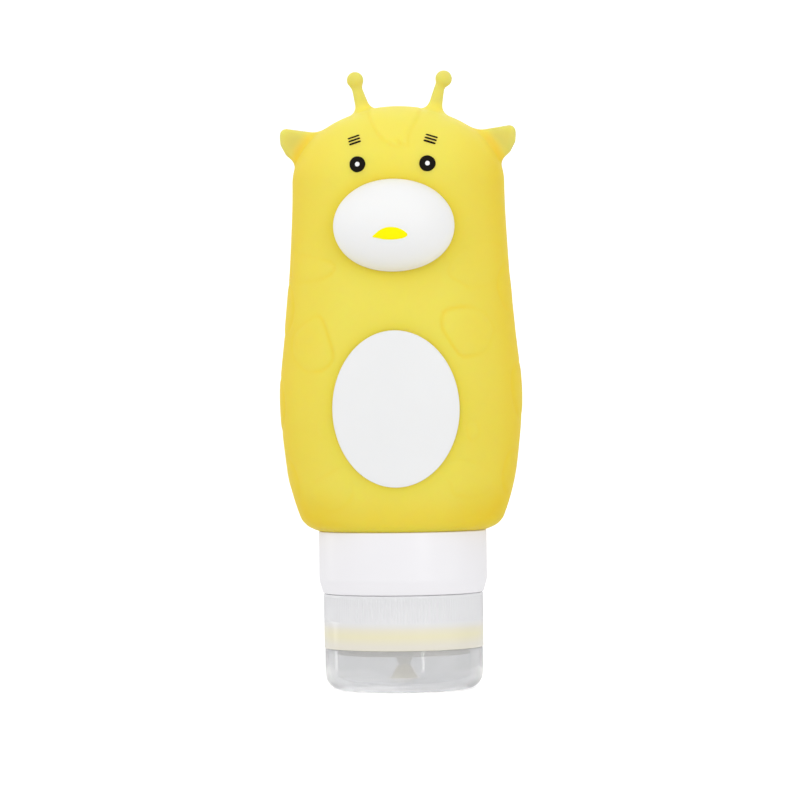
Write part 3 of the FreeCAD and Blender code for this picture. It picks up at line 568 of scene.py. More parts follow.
body = make_piece("silicone_body", *skin_over(body_distance, *BODY_NET), yellow)
weld(body, [make_piece("room_inside", *skin_over(hollow_distance, *ROOM_NET), yellow)], "DIFFERENCE")
body.data.shade_smooth()
spots = np.empty(len(body.data.vertices) * 3)
body.data.vertices.foreach_get("co", spots)
x, y, z = (spots.reshape(-1, 3) / MM).T
past_trunk = trunk_distance(x, y, z)
past_muzzle = oval_distance((x, y - MUZZLE_PLACE[1], z - MUZZLE_PLACE[2]), MUZZLE_HALF)
# Painted shade: deeper yellow round the muzzle's rim, along the fine lines of the coat and round the belly
# oval
rim = np.abs(past_muzzle) + np.abs(past_trunk)
crease_shade = RIM_SHADE[0] * np.exp(-rim / RIM_SHADE[1])
outside = (past_trunk > -OUTER_SKIN) & (z > SEAT_Z)
lines = coat_relief(x[outside], y[outside], z[outside])[1]
crease_shade[outside] = np.maximum(crease_shade[outside], LINE_SHADE * lines)
# Painted light: paler yellow where the ears and horns are thin
thinness = smooth_step((past_trunk - THIN_FROM[0]) / THIN_FROM[1]) * (z > HEAD_Z + HEAD_ONLY)
# Painted shade: deeper yellow towards the sides and at the lower end
side = np.abs(x) / stage_curve(z, 1)
flanks = sum(share * smooth_step((side - start) / way) for share, start, way in FLANK_SHADE_BANDS) * (1 - thinness)
flanks = np.minimum(flanks + FOOT_SHADE_BAND[0] * smooth_step((FOOT_SHADE_BAND[1] - z) / FOOT_SHADE_BAND[2]), 1.0)
for label, values in (("flank", flanks), ("thin", thinness), ("crease", crease_shade)):
    attribute = body.data.attributes.new(label, "FLOAT", "POINT")
    attribute.data.foreach_set("value", values.astype(np.float32))
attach(body, "bottle")
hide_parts("bottle_body", "ear_left", "ear_right", "horn_left", "horn_right")

# Belly oval: a smooth white silicone skin set into the front of the body, flush with it.
# It is moulded first and bonded as the body is cast round it, which leaves a fine line along its rim;
# round that line the body's yellow is painted deeper as shade.


def trunk_front(x, z):
    """The y of the body's front at an x and a z."""
    above = np.maximum(z - HEAD_Z, 0.0) / CROWN_RISE
    side = x / stage_curve(z, 1)
    return -stage_curve(z, 2) * np.sqrt(np.maximum(1 - side * side - above * above, 1e-6))


def band(here, there, count):
    """Faces between two rings of points."""
    turn = [(i, (i + 1) % count) for i in range(count)]
    return [(here + i, here + j, there + j, there + i) for i, j in turn]


def film(name, outline, front, height, depth, edge, material, hole=0.0, rings=10, rim_rings=6, under_rings=4):
    """Thin skin with a rounded rim, laid on a front by the outline that it has seen from there."""
    outline = np.asarray(outline, float)
    middle = (outline.min(0) + outline.max(0)) / 2
    spoke = outline - middle
    length = np.linalg.norm(spoke, axis=1)[:, None]
    layers = []

    def add_layer(inset, lift):
        spot = middle + spoke * np.maximum(1 - inset / length, hole)
        x, z = spot.T
        step = 0.02
        slope_x = (front(x + step, z) - front(x - step, z)) / (2 * step)
        slope_z = (front(x, z + step) - front(x, z - step)) / (2 * step)
        outward = np.stack([slope_x, -np.ones(len(x)), slope_z], 1)
        outward /= np.linalg.norm(outward, axis=1)[:, None]
        layers.append(np.stack([x, front(x, z), z], 1) + outward * lift)

    shortest = float(length.min()) * (1 - hole)
    for k in range(rings):
        add_layer(length * (1 - hole) - (length * (1 - hole) - edge) * (k / rings), height)
    for k in range(rim_rings):
        turn = math.pi / 2 * k / (rim_rings - 1)
        add_layer(min(edge, shortest) * (1 - math.sin(turn)), height - edge * (1 - math.cos(turn)))
    for k in range(under_rings):
        add_layer(length * (1 - hole) * (k / (under_rings - 1)), -depth)
    count = len(outline)
    points = np.concatenate(layers)
    faces = []
    last = len(layers)
    for k in range(last if hole else last - 1):
        faces += band(k * count, (k + 1) % last * count, count)
    area = sum(a[0] * b[1] - b[0] * a[1] for a, b in zip(spoke, np.roll(spoke, -1, 0)))
    if not hole:
        keep = np.arange(len(points))
        keep[:count] = 0
        keep[-count:] = (last - 1) * count
        faces = [tuple(dict.fromkeys(int(keep[v]) for v in face)) for face in faces]
        used = sorted({v for face in faces for v in face})
        place = {v: i for i, v in enumerate(used)}
        points = points[used]
        faces = [tuple(place[v] for v in face) for face in faces if len(face) > 2]
    if area > 0:
        faces = [face[::-1] for face in faces]
    return make_piece(name, points, faces, material)


def oval_outline(x, z, half_x, half_z, count):
    turn = np.arange(count) * 2 * math.pi / count
    return np.stack([x + half_x * np.cos(turn), z + half_z * np.sin(turn)], 1)


WHITE = (0.86, 0.86, 0.855, 1)
SHADED_WHITE = (0.81, 0.805, 0.795, 1)
PANEL_POINTS = 192
# How far the oval stands out of the body's front, how deep it lies in it and how round its rim is
PANEL_SET = (0.02, PANEL_SKIN + 0.1, 0.2)
white = silicone(
    "white_silicone", WHITE, SHADED_WHITE, clouding=0.5, dullness=0.5,
    Subsurface_Weight=0.2, Subsurface_Radius=(1.0, 0.9, 0.75), Subsurface_Scale=0.002, IOR=1.41,
    Specular_IOR_Level=0.4)[0]
panel_outline = oval_outline(0, PANEL_Z, *PANEL_HALF, PANEL_POINTS)
panel = film("belly_oval", panel_outline, trunk_front, *PANEL_SET, white, rings=26)
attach(panel, "bottle")
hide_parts("belly_panel")

# Muzzle: a white silicone skin over the bulge of the face, moulded separately and bonded on.
# Its rim runs into the yellow silicone all round, and its underside lies in its own shade.

MUZZLE_STEPS = (144, 40)
RIM_BURIED = 0.45
WIDEST_RIM = 1.9
RIM_TRIES = 40


def muzzle_front(x, z):
    """The y of the muzzle's front at an x and a z."""
    half_x, half_y, half_z = MUZZLE_HALF
    left = 1 - ((x - MUZZLE_PLACE[0]) / half_x) ** 2 - ((z - MUZZLE_PLACE[2]) / half_z) ** 2
    return MUZZLE_PLACE[1] - half_y * np.sqrt(np.maximum(left, 1e-6))


def muzzle_shell(count, rings):
    """Places and faces of the muzzle's skin, from its front out to its rim and back on the inside."""
    layers = []
    turn = np.arange(count) * 2 * math.pi / count
    low, high = np.zeros(count), np.full(count, WIDEST_RIM)
    for _ in range(RIM_TRIES):
        rim = (low + high) / 2
        x = MUZZLE_HALF[0] * np.sin(rim) * np.cos(turn)
        z = MUZZLE_PLACE[2] + MUZZLE_HALF[2] * np.sin(rim) * np.sin(turn)
        y = MUZZLE_PLACE[1] - MUZZLE_HALF[1] * np.cos(rim)
        outside = trunk_distance(x, y, z) > -RIM_BURIED
        low, high = np.where(outside, rim, low), np.where(outside, high, rim)
    for inset, order in ((0.0, range(rings + 1)), (MUZZLE_SKIN, range(rings, -1, -1))):
        half_x, half_y, half_z = (half - inset for half in MUZZLE_HALF)
        for k in order:
            angle = rim * (k / rings)
            layers.append(np.stack([
                half_x * np.sin(angle) * np.cos(turn),
                MUZZLE_PLACE[1] - half_y * np.cos(angle),
                MUZZLE_PLACE[2] + half_z * np.sin(angle) * np.sin(turn)], 1))
    points = [layers[0][:1], *layers[1:-1], layers[-1][:1]]
    faces = []
    start = 1
    for i in range(count):
        faces.append((0, 1 + (i + 1) % count, 1 + i))
    for _ in range(len(layers) - 3):
        faces += band(start, start + count, count)
        start += count
    for i in range(count):
        faces.append((start + i, start + (i + 1) % count, start + count))
    return np.concatenate(points), faces


muzzle = make_piece("muzzle_skin", *muzzle_shell(*MUZZLE_STEPS), white)
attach(muzzle, "bottle")
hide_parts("muzzle")

# Mouth: a small lens of bright yellow silicone let into the muzzle and bonded flush.
# Its left corner runs out to a point and sits a little lower than the rounder right one.

MOUTH = [(-4.0, 97.6), (-3.3, 98.3), (-2.35, 99.0), (-1.15, 99.5), (0.1, 99.6), (1.4, 99.4), (2.45, 98.95),
         (3.2, 98.4), (3.5, 97.9), (3.2, 97.5), (2.35, 97.15), (1.05, 96.95), (-0.3, 96.9), (-1.7, 97.0),
         (-3.0, 97.3)]
MOUTH_POINTS = 90
MOUTH_SET = (0.06, 0.3, 0.12)
LEMON = (1.0, 0.9, 0.0, 1)
DEEP_LEMON = (0.95, 0.83, 0.0, 1)
lemon = silicone(
    "mouth_silicone", LEMON, DEEP_LEMON, clouding=0.5, dullness=0.6,
    Subsurface_Weight=0.1, Subsurface_Radius=(1.0, 0.8, 0.1), Subsurface_Scale=0.001, IOR=1.41,
    Specular_IOR_Level=0.1)[0]
mouth = film("mouth_inlay", rounded_outline(MOUTH, MOUTH_POINTS), muzzle_front, *MOUTH_SET, lemon, rings=8)
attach(mouth, "bottle")
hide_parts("mouth")

# Eyes, brows and the white dots in the eyes: films of ink, pad-printed on the crown.
# Print on silicone is never quite even, so the edges waver a little and the black is not quite full.

EYE_RADIUS = 1.73
GLINT_RADIUS = 0.52
EYE_SPOTS = {"left": (-7.6, 113.5), "right": (7.4, 113.45)}
BROW_SPOTS = {"left": (-8.4, 118.85), "right": (8.0, 118.8)}
BROW_LEAN = 17.0
STROKE = (2.65, 0.32)
STROKE_PITCH = 0.7
STROKE_POINTS = 48
# Squareness of a stroke's ends and sides, and how far it swells along its length
STROKE_FORM = (0.35, 0.6)
STROKE_SWELL = 0.25
# How much an edge wavers, its points and where its wave begins
EYE_WAVER = (0.012, 72, 0.7)
GLINT_WAVER = (0.02, 40, 2.0)
# Rise of the ink, its hold in the skin, and the rounding of each kind of print
INK = 0.12
INK_HOLD = 0.05
EYE_EDGE = 0.1
GLINT_EDGE = 0.08
STROKE_EDGE = 0.05
FULL_BLACK = (0.004, 0.0035, 0.003, 1)
WORN_BLACK = (0.012, 0.009, 0.005, 1)
FULL_WHITE = (0.9, 0.9, 0.9, 1)
WORN_WHITE = (0.8, 0.8, 0.78, 1)
# Fineness and detail of the worn patches, the ink's least dullness and how much duller it is there
PATCHES = (1400.0, 3.0)
INK_DULLNESS = (0.35, 0.3)

ink_print, group_in, group_out = effect(
    "ink_print", [("Full", "NodeSocketColor"), ("Worn", "NodeSocketColor")],
    [("Colour", "NodeSocketColor"), ("Roughness", "NodeSocketFloat")])
coordinate = ink_print.nodes.new("ShaderNodeTexCoord").outputs["Object"]
patchy = noise(ink_print, *PATCHES, coordinate)
ink_print.links.new(
    colour_mix(ink_print, patchy, group_in.outputs["Full"], group_in.outputs["Worn"]),
    group_out.inputs["Colour"])
duller = math_node(ink_print, "MULTIPLY", patchy, INK_DULLNESS[1])
ink_print.links.new(
    math_node(ink_print, "ADD", duller, INK_DULLNESS[0]), group_out.inputs["Roughness"])


def ink(name, full, worn):
    material, shader = finish(name, IOR=1.45, Specular_IOR_Level=0.06)
    print_node = place_effect(material, ink_print, Full=full, Worn=worn)
    material.node_tree.links.new(print_node.outputs["Colour"], shader.inputs["Base Color"])
    material.node_tree.links.new(print_node.outputs["Roughness"], shader.inputs["Roughness"])
    return material


black_ink = ink("black_ink", FULL_BLACK, WORN_BLACK)
white_ink = ink("white_ink", FULL_WHITE, WORN_WHITE)


def wavering_outline(x, z, radius, waver, count, phase):
    turn = np.arange(count) * 2 * math.pi / count
    size = radius * (1 + waver * (np.sin(3 * turn + phase) + 0.6 * np.sin(7 * turn + 2 * phase)))
    return np.stack([x + size * np.cos(turn), z + size * np.sin(turn)], 1)


for number, side in enumerate(("left", "right")):
    sign = (-1, 1)[number]
    x, z = EYE_SPOTS[side]
    waver, count, phase = EYE_WAVER
    ring = wavering_outline(x, z, EYE_RADIUS, waver, count, phase + number)
    eye = film(f"eye_{side}_print", ring, trunk_front, INK, INK_HOLD, EYE_EDGE, black_ink,
               hole=GLINT_RADIUS / EYE_RADIUS, rings=6)
    waver, count, phase = GLINT_WAVER
    ring = wavering_outline(x, z, GLINT_RADIUS, waver, count, phase + number)
    dot = film(f"eye_dot_{side}_print", ring, trunk_front, INK, INK_HOLD, GLINT_EDGE, white_ink, rings=4)
    x, z = BROW_SPOTS[side]
    lean = math.radians(BROW_LEAN) * -sign
    strokes = []
    for row in (-1, 0, 1):
        turn = np.arange(STROKE_POINTS) * 2 * math.pi / STROKE_POINTS
        along = STROKE[0] / 2 * np.sign(np.cos(turn)) * np.abs(np.cos(turn)) ** STROKE_FORM[0]
        across = STROKE[1] / 2 * np.sign(np.sin(turn)) * np.abs(np.sin(turn)) ** STROKE_FORM[1]
        rise = row * STROKE_PITCH + across * (1 + STROKE_SWELL * np.cos(turn * 0.5 + row))
        stroke = np.stack([x + along * math.cos(lean) - rise * math.sin(lean),
                           z + along * math.sin(lean) + rise * math.cos(lean)], 1)
        strokes.append(film(f"stroke_{side}_{row}", stroke, trunk_front, INK, INK_HOLD, STROKE_EDGE,
                            black_ink, rings=3))
    brow = strokes[0]
    with bpy.context.temp_override(active_object=brow, object=brow, selected_editable_objects=strokes):
        bpy.ops.object.join()
    brow.name = f"brow_{side}_print"
    for piece, node, slot in ((eye, f"eye_{side}", "ink_black"), (dot, f"eye_glint_{side}", "ink_white"),
                              (brow, f"brow_{side}", "ink_black")):
        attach(piece, "bottle")
        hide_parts(node)

# Collar: a cored ring of satin white plastic round the neck, injection moulded in one piece.
# Its outer skirt carries the body's seat, and its inner tube the thread for the cap.

THREAD_LEAD = 3.8
THREAD_WIDTHS = (1.3, 0.65)
# Radius, height and rounding of each corner of the section
COLLAR_SECTION = [
    (12.95, 13.25, 0.4), (14.65, 13.25, 0.5), (14.65, 21.06, 0.2), (17.5, 21.06, 0.5), (18.3, 23.95, 4.0),
    (18.3, 34.6, 0.35), (16.45, 34.6, 0.3), (16.45, 23.4, 0.8), (14.65, 23.4, 0.8), (14.65, 34.6, 0.3),
    (12.95, 34.6, 0.3),
]
# Thread: radius inside the wall, at its root and at its crest, height of its start, and turns
COLLAR_THREAD = (14.45, 14.65, 15.6, 14.35, 1.184)
THREAD_STEPS = 120
THREAD_RUN_OUT = (0.07, 0.15)
COLLAR_STEPS = 256
# Share of a side that one rounding may take, and the angle from which an edge looks sharp
ROUNDED_SHARE = 0.48
COLLAR_SHARP = 40
SATIN = (0.825, 0.815, 0.84, 1)
SHADED_SATIN = (0.80, 0.79, 0.815, 1)


def rounded_section(corners, arc_steps=6):
    """Section with each corner rounded by its own radius."""
    line = []
    for k, (r, z, radius) in enumerate(corners):
        here = np.array((r, z))
        back = np.array(corners[k - 1][:2]) - here
        ahead = np.array(corners[(k + 1) % len(corners)][:2]) - here
        back_length, ahead_length = np.linalg.norm(back), np.linalg.norm(ahead)
        if radius <= 0:
            line.append(here)
            continue
        back, ahead = back / back_length, ahead / ahead_length
        half = math.acos(max(-1.0, min(1.0, float(back @ ahead)))) / 2
        reach = min(radius / math.tan(half), ROUNDED_SHARE * min(back_length, ahead_length))
        radius = reach * math.tan(half)
        bisector = (back + ahead) / np.linalg.norm(back + ahead)
        centre = here + bisector * radius / math.sin(half)
        first = here + back * reach - centre
        second = here + ahead * reach - centre
        sweep = math.pi - 2 * half
        for step in range(arc_steps + 1):
            t = step / arc_steps
            turned_way = first * math.sin((1 - t) * sweep) + second * math.sin(t * sweep)
            line.append(centre + turned_way / math.sin(sweep))
    return np.array(line)


def turned(section, steps, shape=None):
    """Places and faces of a form turned about the axis; shape may change the radius by angle and height."""
    turn = np.arange(steps) * 2 * math.pi / steps
    points, first, faces = [], [], []
    total = 0
    for r, z in section:
        first.append((total, r < 1e-6))
        if r < 1e-6:
            ring = np.array([(0.0, 0.0, z)])
        else:
            radius = np.full(steps, r) if shape is None else shape(r, z, turn)
            ring = np.stack([radius * np.cos(turn), radius * np.sin(turn), np.full(steps, z)], 1)
        points.append(ring)
        total += len(ring)
    for k, (here, here_pole) in enumerate(first):
        there, there_pole = first[(k + 1) % len(first)]
        if here_pole and there_pole:
            continue
        if not here_pole and not there_pole:
            faces += band(here, there, steps)
            continue
        for i in range(steps):
            j = (i + 1) % steps
            faces.append((here, there + j, there + i) if here_pole else (here + i, here + j, there))
    return np.concatenate(points), faces


def thread_ridge(buried, root, crest, start, turns):
    """Places and faces of a right-handed ridge that runs out at both ends."""
    steps = int(turns * THREAD_STEPS)
    end_way, end_height = THREAD_RUN_OUT
    wide, narrow = THREAD_WIDTHS[0] / 2, THREAD_WIDTHS[1] / 2
    section = [(buried, -wide), (root, -wide), (crest, -narrow)]
    section += [(radius, -rise) for radius, rise in reversed(section)]
    points, faces = [], []
    for k in range(steps + 1):
        along = turns * k / steps
        full = float(smooth_step(np.array(min(along, turns - along) / end_way)))
        for radius, rise in section:
            reach = buried + (radius - buried) * (end_height + (1 - end_height) * full)
            angle = 2 * math.pi * along
            height = start + THREAD_LEAD * along + rise
            points.append((reach * math.cos(angle), reach * math.sin(angle), height))
    size = len(section)
    for k in range(steps):
        quads = band(k * size, (k + 1) * size, size)
        faces += quads if crest < buried else [quad[::-1] for quad in quads]
    ends = (tuple(range(size)), tuple(steps * size + i for i in range(size)))
    if crest < buried:
        faces += [ends[0][::-1], ends[1]]
    else:
        faces += [ends[0], ends[1][::-1]]
    return np.array(points), faces


def crease(piece, degrees):
    """Smooth shading that keeps edges sharper than an angle."""
    piece.data.shade_smooth()
    piece.data.set_sharp_from_angle(angle=math.radians(degrees))


# Injection-moulded plastic: slight flow waves, fine scuffs and a gloss that varies with handling.
# Fineness and detail of the waves and of the rubbing, the rubbing's middle value and the waves' strength
FLOW_WAVES = (70.0, 2.0)
RUBBING = (500.0, 2.0)
RUB_MIDDLE = 0.45
WAVE_STRENGTH = 0.3
moulded_skin, group_in, group_out = effect(
    "moulded_skin",
    [("Light", "NodeSocketColor"), ("Dark", "NodeSocketColor"), ("Gloss", "NodeSocketFloat"),
     ("Scuffs", "NodeSocketFloat")],
    [("Colour", "NodeSocketColor"), ("Roughness", "NodeSocketFloat"), ("Waves", "NodeSocketFloat")])
coordinate = moulded_skin.nodes.new("ShaderNodeTexCoord").outputs["Object"]
flow = noise(moulded_skin, *FLOW_WAVES, coordinate)
rub = noise(moulded_skin, *RUBBING, coordinate)
moulded_skin.links.new(
    colour_mix(moulded_skin, flow, group_in.outputs["Light"], group_in.outputs["Dark"]),
    group_out.inputs["Colour"])
off_middle = math_node(moulded_skin, "SUBTRACT", rub, RUB_MIDDLE)
worn = math_node(moulded_skin, "MULTIPLY", off_middle, group_in.outputs["Scuffs"])
moulded_skin.links.new(
    math_node(moulded_skin, "ADD", group_in.outputs["Gloss"], worn), group_out.inputs["Roughness"])
moulded_skin.links.new(flow, group_out.inputs["Waves"])


def plastic(name, light, dark, gloss, scuffs, waves, **sockets):
    material, shader = finish(name, **sockets)
    tree = material.node_tree
    skin = place_effect(material, moulded_skin, Light=light, Dark=dark, Gloss=gloss, Scuffs=scuffs)
    tree.links.new(skin.outputs["Colour"], shader.inputs["Base Color"])
    tree.links.new(skin.outputs["Roughness"], shader.inputs["Roughness"])
    add_bump(material, shader, skin.outputs["Waves"], WAVE_STRENGTH, waves)
    return material, shader, skin


satin_white = plastic("satin_white", SATIN, SHADED_SATIN, gloss=0.34, scuffs=0.12, waves=0.08, IOR=1.49)[0]
collar = make_piece("collar_ring", *turned(rounded_section(COLLAR_SECTION), COLLAR_STEPS), satin_white)
weld(collar, [make_piece("collar_thread", *thread_ridge(*COLLAR_THREAD), satin_white)])
crease(collar, COLLAR_SHARP)
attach(collar, "bottle")
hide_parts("collar")

# Valve and its ring: a slit disc of clear silicone lying in the cap's well under a snapped-in plastic ring.
# Their plain turned shapes are kept as built and only given their finish.

VALVE_CLEAR = (0.88, 0.88, 0.85, 1)
VALVE_CLOUDY = (0.82, 0.82, 0.78, 1)
RING_MILKY = (0.95, 0.95, 0.955, 1)
RING_SHADED = (0.93, 0.93, 0.94, 1)
clear_silicone = silicone(
    "clear_silicone", VALVE_CLEAR, VALVE_CLOUDY, clouding=0.5, dullness=0.35, Transmission_Weight=0.6,
    IOR=1.41)[0]
milky = plastic(
    "milky_plastic", RING_MILKY, RING_SHADED, gloss=0.2, scuffs=0.15, waves=0.05, IOR=1.49,
    Transmission_Weight=0.12)[0]
for name, material in (("valve", clear_silicone), ("valve_retainer", milky)):
    nodes[name].data.materials.clear()
    nodes[name].data.materials.append(material)

# Screw cap: a milky, half-clear moulding with a ring of fine grip ribs under its rim and the thread inside.
# Its deck carries the valve's well and the nozzle, and two lugs at the back hold the lid's stub pins.

CAP_SECTION = [
    (0.9, 5.05, 0.15), (1.4, 5.05, 0.2), (2.25, 7.75, 0.4), (15.15, 7.75, 0.35), (15.15, 9.15, 0.2),
    (17.35, 9.15, 0.25), (17.35, 14.65, 0), (17.35, 15.05, 0), (17.35, 15.45, 0), (17.35, 20.05, 0),
    (17.35, 20.35, 0), (17.35, 21.0, 0.35), (15.85, 21.0, 0.3), (15.85, 11.15, 0.3), (9.95, 11.15, 0.2),
    (9.95, 9.25, 0.2), (0.9, 9.25, 0.15),
]
CAP_THREAD = (16.05, 15.85, 14.9, 12.45, 1.63)
FROST = (0.90, 0.90, 0.915, 1)
SHADED_FROST = (0.87, 0.87, 0.89, 1)
# Painted warm light from the yellow silicone inside: cream on the lower part of the cap, and the heights over
# which it fades out
PAINTED_CREAM_GLOW = (0.90, 0.86, 0.75, 1)
CREAM_GLOW_FADE = (13.4, 15.2)
# Painted glow of the yellow silicone lip through the wall: its colour, the lip's height behind it and how far
# the glow reaches
PAINTED_LIP_GLOW = (0.93, 0.88, 0.63, 1)
LIP_MIDDLE = 12.2
LIP_REACH = (0.2, 2.0)
RIB_COUNT = 176
RIB_DEPTH = 0.16
RIB_ZONE = (15.25, 20.25)
RIB_RADIUS = 17.3
STEPS_PER_RIB = 4
HINGE = (19.55, 9.05)
KNUCKLE_RADIUS = 1.8
KNUCKLE_STEPS = 36
LUG_SPAN = (3.95, 6.45)
LUG_FOOT = (16.6, 9.15, 10.85)
LUG_ARC = (176.8, 450)
LUG_EDGE = 0.3
PIN_BORE = (0.91, 8.0, 0.0)
PIN_STEPS = 48
CAP_SHARP = 35


def ribbed(r, z, turn):
    """Radius of the cap, drawn in between its grip ribs."""
    radius = np.full(turn.shape, r)
    if r > RIB_RADIUS and RIB_ZONE[0] < z < RIB_ZONE[1]:
        radius -= RIB_DEPTH * (0.5 - 0.5 * np.cos(RIB_COUNT * turn))
    return radius


def plate(name, outline, x_low, x_high, edge, material, rim_rings=5):
    """Flat plate across the hinge, its outline of y and z, with rounded edges."""
    outline = np.asarray(outline, float)
    side = np.roll(outline, -1, 0) - np.roll(outline, 1, 0)
    inward = np.stack([-side[:, 1], side[:, 0]], 1) / np.linalg.norm(side, axis=1)[:, None]
    layers = []
    for k in range(rim_rings):
        turn = math.pi / 2 * k / (rim_rings - 1)
        layers.append((edge * (1 - math.sin(turn)), x_low + edge * (1 - math.cos(turn))))
    layers += [(inset, x_low + x_high - x) for inset, x in reversed(layers)]
    count = len(outline)
    points, faces = [], []
    for inset, x in layers:
        spot = outline + inward * inset
        points.append(np.stack([np.full(count, x), spot[:, 0], spot[:, 1]], 1))
    for k in range(len(layers) - 1):
        faces += band(k * count, (k + 1) * count, count)
    faces.append(tuple(range(count))[::-1])
    faces.append(tuple((len(layers) - 1) * count + i for i in range(count)))
    return make_piece(name, np.concatenate(points), faces, material)


def knuckle_arc(first, last):
    """Points of the knuckle round the hinge from one angle to another, in degrees."""
    angles = np.radians(np.linspace(first, last, KNUCKLE_STEPS))
    return [(HINGE[0] + KNUCKLE_RADIUS * math.cos(angle), HINGE[1] + KNUCKLE_RADIUS * math.sin(angle))
            for angle in angles]


def pin(name, radius, reach, edge, material):
    """Round pin along the hinge's axis."""
    corners = [(0, -reach, 0), (radius, -reach, edge), (radius, reach, edge), (0, reach, 0)]
    points, faces = turned(rounded_section(corners, 4), PIN_STEPS)
    along_x = np.stack([points[:, 2], points[:, 0] + HINGE[0], points[:, 1] + HINGE[1]], 1)
    return make_piece(name, along_x, faces, material)


def fade(tree, value, first, last, start, end):
    """Value that runs from start to end while another runs from first to last."""
    node = tree.nodes.new("ShaderNodeMapRange")
    for socket, number in (("From Min", first), ("From Max", last), ("To Min", start), ("To Max", end)):
        node.inputs[socket].default_value = number
    tree.links.new(value, node.inputs["Value"])
    return node.outputs["Result"]


frosted, shader, skin = plastic(
    "frosted_plastic", FROST, SHADED_FROST, gloss=0.2, scuffs=0.15, waves=0.05, IOR=1.49,
    Transmission_Weight=0.2)
tree = frosted.node_tree
place = tree.nodes.new("ShaderNodeSeparateXYZ")
tree.links.new(tree.nodes.new("ShaderNodeTexCoord").outputs["Object"], place.inputs["Vector"])
height = place.outputs["Z"]
# Painted glow: cream below, and a band of the lip's yellow where the lip stands behind the wall
low = fade(tree, height, CREAM_GLOW_FADE[0] * MM, CREAM_GLOW_FADE[1] * MM, 1.0, 0.0)
colour = colour_mix(tree, low, skin.outputs["Colour"], PAINTED_CREAM_GLOW)
off_lip = math_node(tree, "ABSOLUTE", math_node(tree, "SUBTRACT", height, LIP_MIDDLE * MM), 0.0)
glow = fade(tree, off_lip, LIP_REACH[0] * MM, LIP_REACH[1] * MM, 1.0, 0.0)
tree.links.new(colour_mix(tree, glow, colour, PAINTED_LIP_GLOW), shader.inputs["Base Color"])
cap_form = turned(rounded_section(CAP_SECTION, 5), RIB_COUNT * STEPS_PER_RIB, ribbed)
cap = make_piece("screw_cap", *cap_form, frosted)
lug_outline = [(LUG_FOOT[0], LUG_FOOT[1]), *knuckle_arc(*LUG_ARC), (LUG_FOOT[0], LUG_FOOT[2])]
lugs = [plate(f"lug_{number}", lug_outline, low, high, LUG_EDGE, frosted)
        for number, (low, high) in enumerate((LUG_SPAN, (-LUG_SPAN[1], -LUG_SPAN[0])))]
ridge = make_piece("cap_thread", *thread_ridge(*CAP_THREAD), frosted)
weld(cap, [*lugs, ridge])
weld(cap, [pin("lug_bore", *PIN_BORE, frosted)], "DIFFERENCE")
crease(cap, CAP_SHARP)
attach(cap, "cap")
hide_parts("cap_base")

# Flip lid: a clear moulded cup with a plug in the middle that closes the nozzle.
# A knuckle on an arm at its back swings between the cap's lugs on two stub pins.

PLUG_FOOT = 3.5
LID_FLOOR = 1.72
# Share of the light that the clear wall keeps from what stands behind it
LID_SHADE = 0.02
LID_STEPS = 224
LID_SHARP = 35
ARM_HALF = 3.75
ARM_EDGE = 0.25
ARM_FOOT = (16.35, 7.25, 8.95)
ARM_ARC = (270, 540)
ARM_STEP = (17.6, 8.95)
STUB_PINS = (0.85, LUG_SPAN[1], 0.15)
CLEAR = (0.80, 0.805, 0.815, 1)
SHADED_CLEAR = (0.77, 0.775, 0.79, 1)
PLUG_CREAM = (1.0, 0.93, 0.74, 1)
SHADED_CREAM = (0.98, 0.9, 0.7, 1)
LID_SECTION = [
    (0.0, 0.0, 0), (17.2, 0.0, 3.4), (17.2, 9.09, 0.2), (15.65, 9.09, 0.2), (15.65, 1.7, 2.0),
    (3.45, 1.7, 0.5), (1.4, 4.75, 0.2), (0.55, 4.75, 0.1), (0.55, 6.05, 0.2), (0.0, 6.05, 0),
]
clear, shader, skin = plastic(
    "clear_plastic", CLEAR, SHADED_CLEAR, gloss=0.12, scuffs=0.08, waves=0.03, IOR=1.49,
    Transmission_Weight=0.74)
tree = clear.node_tree
shade = tree.nodes.new("ShaderNodeLightPath").outputs["Is Shadow Ray"]
tree.links.new(fade(tree, shade, 0.0, 1.0, 1.0, LID_SHADE), shader.inputs["Alpha"])
milky_plug = plastic("milky_plug", PLUG_CREAM, SHADED_CREAM, gloss=0.3, scuffs=0.1, waves=0.03, IOR=1.49)[0]
lid = make_piece("flip_lid_cup", *turned(rounded_section(LID_SECTION, 8), LID_STEPS), clear)
arm_outline = [(ARM_FOOT[0], ARM_FOOT[1]), *knuckle_arc(*ARM_ARC), ARM_STEP, (ARM_FOOT[0], ARM_FOOT[2])]
arm = plate("lid_arm", arm_outline, -ARM_HALF, ARM_HALF, ARM_EDGE, clear)
weld(lid, [arm, pin("lid_pins", *STUB_PINS, clear)])
crease(lid, LID_SHARP)
lid.data.materials.append(milky_plug)
for face in lid.data.polygons:
    x, y, z = face.center / MM
    if math.hypot(x, y) < PLUG_FOOT and z > LID_FLOOR:
        face.material_index = 1
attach(lid, "lid")
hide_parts("flip_lid")

# Studio: a white sweep of card, a small card on it under the bottle and a lens level with its middle.
# A broad soft light stands at the front left, a strip and a fill at the right, an edge light at the left,
# and others above and behind. Only the small card shows in the gloss, so the lid mirrors the strip.

CARD_WHITE = (0.93, 0.93, 0.93, 1)
GLOW_WHITE = (1, 1, 1, 1)
SWEEP = [(-900.0, -0.3), (500.0, -0.3), (700.0, 30.0), (820.0, 130.0), (880.0, 320.0), (900.0, 1400.0)]
STAND = [(-50.0, 0.0), (50.0, 0.0)]
# Line of y and z, half width and glow of each card
CARDS = {"studio_floor": (SWEEP, 1500.0, 0.22), "stand_card": (STAND, 60.0, 0.45)}
